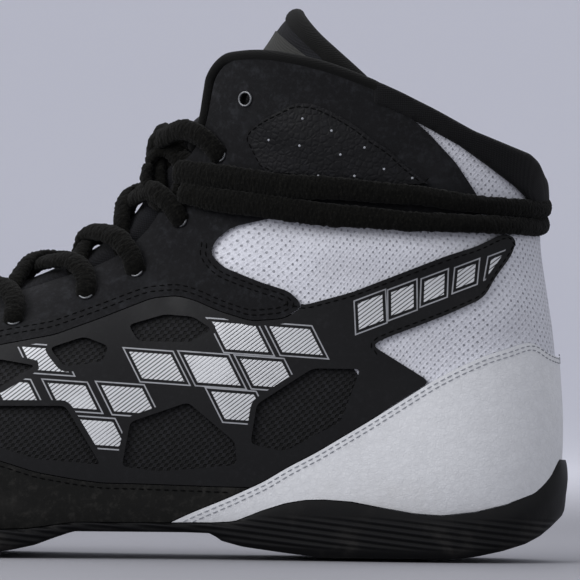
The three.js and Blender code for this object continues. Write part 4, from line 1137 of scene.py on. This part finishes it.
def tileCorners(centre, along, w, h, lean):
    across = np.array((-along[1], along[0]))
    corners = [(-w - lean, -h), (w - lean, -h), (w + lean, h), (-w + lean, h)]
    return np.array([centre + along * a + across * b for a, b in corners])


def tileOutlines(band, blocked):
    data = tileData
    tiles = []
    start, end = np.array((60.5, 73.6)), np.array((22.8, 88.4))
    grid = np.linspace(0.06, 0.94, 12)
    u, v = [g.ravel()[:, None] for g in np.meshgrid(grid, grid)]
    for row in range(6):
        for column in range(-3, 11):
            x = 66 + column * data["pitchX"] + (row % 2) * data["pitchX"] * 0.5
            z = 24 + row * data["pitchZ"] + 0.05 * (x - 100)
            grade = 0.78 + 0.26 * math.exp(-((x - 108) / 46) ** 2)
            along = np.array((math.cos(0.06), math.sin(0.06)))
            tile = tileCorners(
                np.array((x, z)), along,
                data["width"] * grade / 2, data["height"] * grade / 2, data["lean"] * grade / 2,
            )
            tile = (tile - np.array((last["heelRest"] / mm, 0))) * mm
            probe = (tile[0] * (1 - u) + tile[1] * u) * (1 - v) + (tile[3] * (1 - u) + tile[2] * u) * v
            free = inside(probe, band)
            for shape in blocked:
                free &= ~inside(probe, shape)
            if free.mean() > 0.55 and tile[:, 0].min() > start[0] * mm - last["heelRest"] + 1.5 * mm:
                tiles.append(tile)
    along = (end - start) / np.linalg.norm(end - start)
    for i in range(5):
        t = i / 4
        tile = tileCorners(start + (end - start) * t, along, 3.9 - 1.4 * t, 3.7 - 1.7 * t, -1.2)
        tiles.append((tile - np.array((last["heelRest"] / mm, 0))) * mm)
    return tiles


def silverTiles():
    data = tileData
    band = grown(softCorners(sidePairs(outlines["sideBand"]), 2.2 * mm), -2.2 * mm)
    windows = [grown(softCorners(sidePairs(w), 1.6 * mm), 1.7 * mm) for w in outlines["windows"]]
    borders = [
        grown(softCorners(sidePairs(outlines[k]), 2.2 * mm), 1.8 * mm)
        for k in ("counter", "mudguard", "eyestay")
    ]
    tiles = tileOutlines(band, windows + borders)
    skin = formShell("print_skin", overTop - 0.1 * mm, overTop + 0.12 * mm)
    keep = prism("print_inside", [band])
    clear = [prism("print_clear", windows)] + [prism("print_border", [border]) for border in borders]
    frames = [
        [grown(t, (data["frame"] + data["line"]) * mm) for t in tiles],
        [grown(t, data["frame"] * mm) for t in tiles],
    ]
    for kind, outer, hole, name in (
        ("hatch", tiles, None, "tiles"),
        ("keyline", frames[0], frames[1], "keylines"),
    ):
        tool = prism("tile_tool", outer)
        blank = cutFrom(skin, "print_blank", [keep, tool], clear)
        if hole:
            cut(blank, prism("tile_inner", hole), "DIFFERENCE")
        for side in ("lateral", "medial"):
            half = tools["outer"] if side == "lateral" else tools["inner"]
            piece = cutFrom(blank, f"silver_{name}_{side}", [half])
            dress(piece, finish[kind], ())
        bpy.data.objects.remove(blank)
    for tool in [keep, skin, *clear]:
        bpy.data.objects.remove(tool)


silverTiles()
print("panels and print cut")

# Sole and insole
outsole = soleMesh(0)
pocket = formShell("pocket", None, last["gap"], 160, 120)
cut(pocket, prism("floor_tool", [lineUnder(footbedAt, 0)]), "DIFFERENCE")
cut(outsole, pocket, "DIFFERENCE")
cut(outsole, treadTool(), "DIFFERENCE")
dress(outsole, finish["rubber"], ("outsole",), angle=40)
insole = formShell("insole_foam", None, -last["wall"] - last["gap"], 120, 80)
cut(insole, prism("insole_top", [lineUnder(footbedAt, 3.3 * mm)]), "INTERSECT")
cut(insole, tools["footbed"], "DIFFERENCE")
dress(insole, finish["lining"], ("insole",), angle=30)
print("sole made")

# Padded collar, from the same band of the form, rounded
collarBlank = formShell("collar_padding", -last["cuffInside"] - 0.4 * mm, last["cuffOutside"] + 0.7 * mm,
    160, 120)
cut(collarBlank, tools["collarBand"], "INTERSECT")
remesh = collarBlank.modifiers.new("even", "REMESH")
remesh.mode = "VOXEL"
remesh.voxel_size = 0.9 * mm
soften = collarBlank.modifiers.new("round", "SMOOTH")
soften.factor = 0.5
soften.iterations = 10
collarMesh = bpy.data.meshes.new_from_object(collarBlank.evaluated_get(bpy.context.evaluated_depsgraph_get()))
collarBlank.modifiers.clear()
collarBlank.data = collarMesh
dress(collarBlank, finish["collar"], ("collar",), angle=60)

# Tongue: padded, swelling between the laces, its top sloping down to the sides
tongueTable = np.array([
    (6.4, 0.42, 0), (7.1, 0.5, 0), (9, 0.68, 0), (11, 0.75, 0), (13.5, 0.8, 0), (16, 0.84, 0.04),
    (19, 0.95, 0.22), (20.5, 1.02, 0.38), (22, 1.09, 0.52), (23, 1.13, 0.62), (24, 1.17, 0.72),
    (24.8, 1.19, 0.82),
])
tongueData = {"start": 6.45, "top": 24.7, "fall": 1.4, "swell": 3.9 * mm, "roll": 2.7 * mm}


def throatHalf(place):
    return np.interp(place, *throatTable.T) * last["ballWidth"]


def tonguePoint(share, spread, offset):
    data = tongueData
    top = data["top"] - data["fall"] * np.abs(spread) ** 1.5 * share ** 3
    place = data["start"] + (top - data["start"]) * share
    widest = np.interp(place, tongueTable[:, 0], tongueTable[:, 1])
    lean = np.interp(place, tongueTable[:, 0], tongueTable[:, 2]) * last["tongueLean"] * 1.12
    turn = np.pi - spread * widest
    aside = np.abs(formPoints(place, turn)[..., 1]) / throatHalf(place)
    swell = (data["swell"] * (1 - softStep(aside, 0.5, 0.98)) * softStep(place, 7.4, 9)
             * (1 - softStep(place, 17.5, 19.5)))
    points = surface(place, turn, offset - last["wall"] - last["tongueGap"] + swell, False)
    points[..., 0] -= lean
    return points


def tongueMesh():
    rows, columns = 150, 61
    share = np.linspace(0, 1, rows)[:, None]
    spread = np.linspace(-1, 1, columns)[None, :]
    endRound = np.minimum(1, (1 - np.abs(2 * share - 1) ** 30) ** 0.5)
    puff = (1 - np.abs(spread) ** 8) ** 0.5 * endRound
    channel = 1 - 0.3 * np.exp(-((np.abs(spread) - 0.78) / 0.05) ** 2)
    channel = channel - 0.3 * np.exp(-((share - 0.93) / 0.008) ** 2)
    half = np.maximum(0.12, puff * channel) * (last["tongue"] + 1.6 * mm * softStep(share, 0.8, 0.95)) / 2
    outer = tonguePoint(share, spread, -last["tongue"] / 2 + half)
    inner = tonguePoint(share, spread, -last["tongue"] / 2 - half)
    rings = np.concatenate([outer, inner[:, ::-1]], axis=1)
    around = rings.shape[1]
    vertices = rings.reshape(-1, 3)
    faces = gridFaces(rows, around)
    start = (rows - 1) * around
    for k in range(columns - 1):
        faces.append((k, k + 1, around - 2 - k, around - 1 - k))
        faces.append((start + k, start + around - 1 - k, start + around - 2 - k, start + k + 1))
    return fixNormals(meshObject("tongue_padded", vertices, faces))


tongue = tongueMesh()
dress(tongue, finish["tongueBack"], ("tongue",), angle=50)


def tongueRoll():
    spread = np.linspace(-1, 1, 90)
    middle = tonguePoint(np.full(90, 0.995), spread, -last["tongue"] / 2)
    down = [
        tonguePoint(np.linspace(0.86, 0.985, 12), np.full(12, side), -last["tongue"] / 2)
        for side in (-1.0, 1.0)
    ]
    route = evenLine(np.concatenate([down[0], middle, down[1][::-1]]), 0.8 * mm)
    outward = route - np.array([5 * mm, 0, 130 * mm])
    roll = tubeMesh("tongue_roll", route, outward, 2.4 * tongueData["roll"], 2 * tongueData["roll"],
        finish["binding"], 16)
    dress(roll, finish["binding"], (), angle=0)


tongueRoll()


def tonguePatch():
    share = np.linspace(0.86, 0.965, 24)[:, None]
    spread = np.linspace(-0.75, 0.75, 30)[None, :]
    lift = 0.12 * mm + 0 * share * spread
    outer, inner = tonguePoint(share, spread, 0.9 * mm + lift), tonguePoint(share, spread, -0.4 * mm + lift)
    rings = np.concatenate([outer, inner[:, ::-1]], axis=1)
    around = rings.shape[1]
    faces = gridFaces(24, around)
    start = 23 * around
    for k in range(29):
        faces.append((k, k + 1, around - 2 - k, around - 1 - k))
        faces.append((start + k, start + around - 1 - k, start + around - 2 - k, start + k + 1))
    patch = fixNormals(meshObject("tongue_patch", rings.reshape(-1, 3), faces))
    dress(patch, finish["tongue"], (), angle=50)


tonguePatch()

# Rolled binding on the flaps and the tongue's edge
for side, name in ((1, "lateral"), (-1, "medial")):
    flapEdge = sidePairs([(0.19, 0.917)] + outlines["flap"] + [(0.3, 0.7)])
    edge = grown(flapEdge, -last["binding"])[:-1]
    line = evenLine(smoothLine(edge), 0.8 * mm)
    place, turn = seenFromSide(line[:, 0], line[:, 1])
    route = surface(place, side * turn, 0)
    binding = tubeMesh(f"flap_binding_tape_{name}", route, formNormals(place, side * turn), 3.4 * mm,
        4.0 * mm,
                       finish["binding"], 16)
    dress(binding, finish["binding"], (f"flap_binding_{name}",), angle=0)
print("padding and binding made")

# Eyelets: turned rings
eyeletData = {"middle": 2.05 * mm, "wire": 0.36 * mm, "lift": 0.25 * mm}


def eyeletRings(side, name):
    data = eyeletData
    vertices, faces = [], []
    sides, steps = 28, 10
    for x, z in eyeletPlaces:
        place, turn = seenFromSide(x, z)
        out = formNormals(place, side * turn)
        centre = surface(place, side * turn, overTop + data["lift"])
        first = np.cross(out, (0, 0, 1.0))
        first /= np.linalg.norm(first)
        second = np.cross(out, first)
        start = len(vertices)
        for s in range(steps):
            b = 2 * math.pi * s / steps
            radius = data["middle"] + data["wire"] * math.cos(b)
            height = data["wire"] * math.sin(b)
            for k in range(sides):
                a = 2 * math.pi * k / sides
                vertices.append(centre + out * height + spoke(first, second, a) * radius)
        for s in range(steps):
            for k in range(sides):
                n, m = (k + 1) % sides, (s + 1) % steps
                faces.append((start + s * sides + k, start + s * sides + n, start + m * sides + n,
                    start + m * sides + k))
    rings = fixNormals(meshObject(f"eyelet_rings_{name}", vertices, faces, finish["metal"]))
    dress(rings, finish["metal"], tuple(f"eyelet_{name}_{i}" for i in range(1, 9)),
        angle=60)


eyeletRings(1, "lateral")
eyeletRings(-1, "medial")

# Seams, a hair above the leather
seamLift = 0.05 * mm
counterLine = sidePairs(outlines["counter"])
for row, inset in enumerate((0.95 * mm, 2.15 * mm)):
    edge = grown(softCorners(counterLine, 2.2 * mm), -inset)[4:4 * 15]
    outerLine = sideLine(evenLine(edge, mm), 1, overTop + seamLift)
    innerLine = sideLine(evenLine(edge, mm), -1, overTop + seamLift)
    whole = np.concatenate([outerLine[::-1], innerLine])
    stitchRow(f"counter_seam_{row + 1}", [whole], finish["greyThread"], "leather_white", pitch=2.3 * mm,
        length=1.7 * mm)
lines = seamLines(sidePairs(outlines["mudguard"]), 1, 13, 1.4 * mm, overTop + seamLift)
stitchRow("mudguard_seam", lines, finish["blackThread"], "suede_black")
lines = seamLines(sidePairs(outlines["eyestay"]), 2, 19, 1.5 * mm, overTop + seamLift)
lines += seamLines(sidePairs(outlines["eyestay"]), 2, 19, 3.0 * mm, overTop + seamLift)
stitchRow("eyestay_seam", lines, finish["blackThread"], "nubuck_black")
panelTop = overTop + last["gap"] + last["panel"] + seamLift
lines = seamLines(sidePairs(outlines["anklePanel"]), 0, 14, 1.2 * mm, panelTop)
stitchRow("ankle_panel_seam", lines, finish["blackThread"], "leather_black", pitch=2.2 * mm)
lines = seamLines(sidePairs(outlines["sideBand"]), 0, 8, 1.2 * mm, overTop + seamLift)
lines += seamLines(sidePairs(outlines["sideBand"]), 17, 25, 1.2 * mm, overTop + seamLift)
stitchRow("side_band_seam", lines, finish["blackThread"], "film_black")
print("seams sewn")

# Pin holes of the ankle panel
pinPlaces = [(81, 130.8), (72.6, 127.3), (63, 122.4), (57.2, 116.1), (48.9, 113.5), (90.6, 124.6),
             (81.6, 123), (69.9, 120.3), (86.7, 114.2), (76.2, 114.1), (65.7, 114.1)]


def pinDots():
    for side, name in ((1, "lateral"), (-1, "medial")):
        vertices, faces = [], []
        for x, z in pinPlaces:
            place, turn = seenFromSide(x * mm - last["heelRest"], z * mm)
            out = formNormals(place, side * turn)
            centre = surface(place, side * turn, panelTop)
            first = np.cross(out, (0, 0, 1.0))
            first /= np.linalg.norm(first)
            second = np.cross(out, first)
            start = len(vertices)
            for k in range(12):
                a = 2 * math.pi * k / 12
                vertices.append(centre + spoke(first, second, a) * 0.38 * mm - out * 0.06 * mm)
            for k in range(12):
                a = 2 * math.pi * k / 12
                vertices.append(centre + spoke(first, second, a) * 0.24 * mm + out * 0.1 * mm)
            faces += gridFaces(2, 12, start)
            faces += [tuple(range(start, start + 12))[::-1], tuple(range(start + 12, start + 24))]
        pins = fixNormals(meshObject(f"ankle_pins_{name}", vertices, faces, finish["greyThread"]))
        dress(pins, finish["greyThread"], (), angle=40)


pinDots()

# Laces: flat braid laid on the surface, worn fuzzy
laceData = {
    "width": 6.3 * mm, "thickness": 3.9 * mm, "fuzz": 0.26 * mm, "sides": 20,
    "step": 0.6 * mm, "wrapStep": 0.8 * mm,
    "wrapThickness": 3.4 * mm, "wrapSink": 2.3 * mm, "loopWidth": 4.8 * mm, "loopThickness": 3 * mm,
}
fuzzSource = np.random.default_rng(7)


def fuzzy(obj):
    count = len(obj.data.vertices)
    points, normals = np.empty(count * 3), np.empty(count * 3)
    obj.data.vertices.foreach_get("co", points)
    obj.data.vertices.foreach_get("normal", normals)
    push = fuzzSource.uniform(-1, 1, (count, 1)) * laceData["fuzz"]
    obj.data.vertices.foreach_set("co", (points.reshape(-1, 3) + normals.reshape(-1, 3) * push).ravel())
    return obj


def laceTube(name, centres, normals, width=None, thickness=None):
    width = laceData["width"] if width is None else width
    thickness = laceData["thickness"] if thickness is None else thickness
    return fuzzy(tubeMesh(name, centres, normals, width, thickness, finish["lace"], laceData["sides"]))


def laidLace(name, stations, width=None, thickness=None):
    place, spread, offset = smoothLine(stations, 12).T
    turn = np.pi - spread
    even = evenLine(
        np.concatenate([surface(place, turn, offset, False), formNormals(place, turn)], axis=1),
        laceData["step"],
    )
    return laceTube(name, even[:, :3], even[:, 3:], width, thickness)


def laceCrossings():
    places = [seenFromSide(x, z) for x, z in eyeletPlaces]
    over = overTop + laceData["thickness"] / 2 + 0.1 * mm
    for i in range(6):
        (p0, t0), (p1, t1) = places[i], places[i + 1]
        s0, s1 = np.pi - t0, np.pi - t1
        strands = []
        for side in (1, -1):
            lift = 1.3 * mm if (side > 0) == (i % 2 == 0) else -1.1 * mm
            step = p1 - p0
            stations = [
                (p0 - 0.1 * step, side * 0.6 * s0, -2.6 * mm), (p0, side * 0.4 * s0, -0.2 * mm),
                (p0 + 0.2 * step, side * 0.2 * s0, 2.4 * mm + 0.5 * lift),
                (p0 + 0.42 * step, 0, 4.0 * mm + lift),
                (p0 + 0.72 * step, -side * 0.3 * s1, 4.0 * mm + 0.5 * lift),
                (p0 + 1.0 * step, -side * 0.58 * s1, over + 0.8 * mm),
                (p0 + 1.08 * step, -side * 0.84 * s1, over), (p1, -side * 0.99 * s1, 1.6 * mm),
                (p1, -side * s1, -2.6 * mm),
            ]
            strands.append(laidLace("strand", stations))
        crossing = joined(strands, f"lace_crossing_braid_{i + 1}")
        dress(crossing, finish["lace"], (f"lace_crossing_{i + 1}",), angle=0)
    p0, t0 = places[0]
    s0 = np.pi - t0
    profile = [(1, -2.6 * mm), (0.99, 1.4 * mm), (0.84, over), (0.5, over + 1 * mm), (0.2, over + 0.8 * mm)]
    stations = [(p0, share * s0, offset) for share, offset in profile]
    stations += [(p0, -share * s0, offset) for share, offset in profile[::-1]]
    bar = laidLace("lace_bar_braid", stations)
    dress(bar, finish["lace"], ("lace_bar",), angle=0)


laceCrossings()

# The lace ends round the ankle: outer side, back, inner side
wraps = {
    "upper": [
        (0.412, 0.752), (0.386, 0.748), (0.3284, 0.736), (0.25, 0.727), (0.18, 0.715),
        (0.122, 0.7), (0.07, 0.694), (0.04, 0.692),
    ],
    "lower": [
        (0.408, 0.712), (0.38, 0.702), (0.297, 0.684), (0.223, 0.671), (0.17, 0.663),
        (0.12, 0.658), (0.07, 0.657), (0.04, 0.657),
    ],
}


def ankleWrap(name, pairs):
    line = sidePairs(pairs)
    place, turn = seenFromSide(line[:, 0], line[:, 1])
    backPlace, _ = seenFromSide(0.02 * sole - last["heelRest"], (pairs[-1][1] - 0.006) * shaft)
    places = np.concatenate([place, [backPlace], place[::-1]])
    turns = np.concatenate([turn, [0], -turn[::-1]])
    offset = overTop + laceData["thickness"] / 2 + 0.2 * mm
    stations = smoothLine(np.stack([places, turns, np.full(len(places), offset)], axis=1), 14)
    stations[:, 2] -= laceData["wrapSink"] * (1 - softStep(np.abs(stations[:, 1]), 0.35, 1.1))
    stations[:, 2] += 0.25 * mm * np.sin(np.linspace(0, 31 if name == "upper" else 23, len(stations)))
    points = surface(*stations.T, False)
    even = evenLine(np.concatenate([points, formNormals(stations[:, 0], stations[:, 1])], axis=1),
        laceData["wrapStep"])
    forward = softStep(even[:, 0], -20 * mm, 40 * mm)
    width = (5.4 + 1.9 * forward)[:, None, None] * mm
    wrap = laceTube(f"lace_wrap_braid_{name}", even[:, :3], even[:, 3:], width, laceData["wrapThickness"])
    dress(wrap, finish["lace"], (f"lace_wrap_{name}",), angle=0)
    return wrap, even[:, :3]


wrapLaces = {name: ankleWrap(name, pairs) for name, pairs in wraps.items()}

# Knot over the throat, and the short loops that stand out of it
knotData = {"x": 0.4365 * sole - last["heelRest"], "z": 0.811 * shaft}


# Points in mm: from the heel, to the outer side, over the floor; then width and thickness
knotTurns = [
    ([(118, 9, 119), (121, 6, 124), (124, 0, 127), (121, -6, 125), (117, -8, 119)], 6.2, 4.4),
    ([(116, 5, 126), (121, 5, 127), (126, 3.5, 123.5), (125, 1, 117.5), (119, 0.5, 116)], 5.8, 4.2),
    ([(117, -5, 126), (121, -4, 122), (124.5, -1.5, 120), (123, 3, 117), (117, 6, 116)], 5.8, 4.2),
    ([(112, 13, 114.5), (117, 10.5, 118), (120.5, 5, 121), (123, 0, 123)], 6.4, 4.2),
    ([(112, -13, 114.5), (117, -10.5, 118), (120.5, -5, 121), (122, 0, 122)], 6.4, 4.2),
]


def seenLine(points):
    return np.array([(x * mm - last["heelRest"], y * mm, z * mm) for x, y, z in points])


def freeLace(name, points, width, thickness, tilt=(0.4, 0, 1)):
    line = evenLine(smoothLine(seenLine(points), 14), laceData["step"])
    middle = np.array([knotData["x"] - 9 * mm, 0, knotData["z"] - 4 * mm])
    return laceTube(name, line, line - middle + np.array(tilt) * 2 * mm, width, thickness), line


def knotPieces():
    turns = [
        freeLace("knot_turn", points, width * mm, thickness * mm)
        for points, width, thickness in knotTurns
    ]
    knot = joined([turn for turn, line in turns], "lace_knot_braid")
    dress(knot, finish["lace"], ("lace_knot",), angle=0)
    for side, name in ((1, "lateral"), (-1, "medial")):
        around = np.radians(np.arange(60, 421, 30))
        out = 10.5 - 4.5 * np.cos(around - 0.6)
        points = np.stack([123 + 5.5 * np.sin(around), side * out, 113 + 8.5 * np.cos(around)], axis=1)
        loop = freeLace(f"lace_loop_{name}", points, laceData["loopWidth"], laceData["loopThickness"])
        dress(loop[0], finish["lace"], (f"lace_end_{name}",), angle=0)
    return knot


knot = knotPieces()
print("laces laid")

# Clearing the tools, which are no part of the shoe
for obj in list(tools.values()) + [outerSkin, innerSkin, overlaySkin, panelSkin, soleTool, pocket]:
    bpy.data.objects.remove(obj)
for name in ("floor_tool", "tread_tool", "insole_top", "tile_tool", "tile_inner"):
    for obj in [o for o in bpy.data.objects if o.name.startswith(name)]:
        bpy.data.objects.remove(obj)


# Floor, backdrop and soft light: name, place, size, power
studioLights = [
    ("key", (0.95, 0.7, 0.75), 0.9, 14),
    ("fill", (-0.8, 1.1, 0.5), 1.4, 2.5),
    ("top", (0.15, -0.2, 1.2), 1.0, 7),
]


def studio():
    profile = [(-7, 0), (1, 0), (6, 0.02), (7.4, 0.3), (8.2, 1.0), (8.6, 2.2), (8.8, 4.5)]
    curve = smoothLine(np.array(profile), 16)
    vertices, faces = [], []
    for y, z in curve:
        vertices += [(-8, -y, z), (8, -y, z)]
    for i in range(len(curve) - 1):
        faces.append((2 * i, 2 * i + 1, 2 * i + 3, 2 * i + 2))
    backdrop = meshObject("studio_floor", vertices, faces)
    # Painted shade and light on the floor: grey near the shoe, painted lighter from there towards the
    # backdrop.
    f = Finish("floor_pale", (132, 132, 138), 0.6, specular=0.3)
    x, y, z = f.parts()
    f.tint(f.ramp(f.noise(3, 2), 0.4, 0.7, 0, 0.15), (140, 140, 146))
    f.tint(f.ramp(y, -0.35, -1.5), (238, 238, 246))
    backdrop.data.materials.append(f.material)
    backdrop.data.shade_smooth()
    world = bpy.data.worlds.new("studio")
    bpy.context.scene.world = world
    world.use_nodes = True
    world.node_tree.nodes["Background"].inputs["Color"].default_value = (0.88, 0.9, 0.97, 1)
    world.node_tree.nodes["Background"].inputs["Strength"].default_value = 0.62
    for name, place, size, power in studioLights:
        light = bpy.data.lights.new(name, "AREA")
        light.size = size
        light.energy = power
        obj = bpy.data.objects.new(name, light)
        bpy.context.scene.collection.objects.link(obj)
        obj.location = place
        aim = Vector((0.02, 0, 0.07)) - Vector(place)
        obj.rotation_euler = aim.to_track_quat("-Z", "Y").to_euler()


studio()
bpy.context.scene.view_settings.view_transform = "Standard"
print("studio lit")
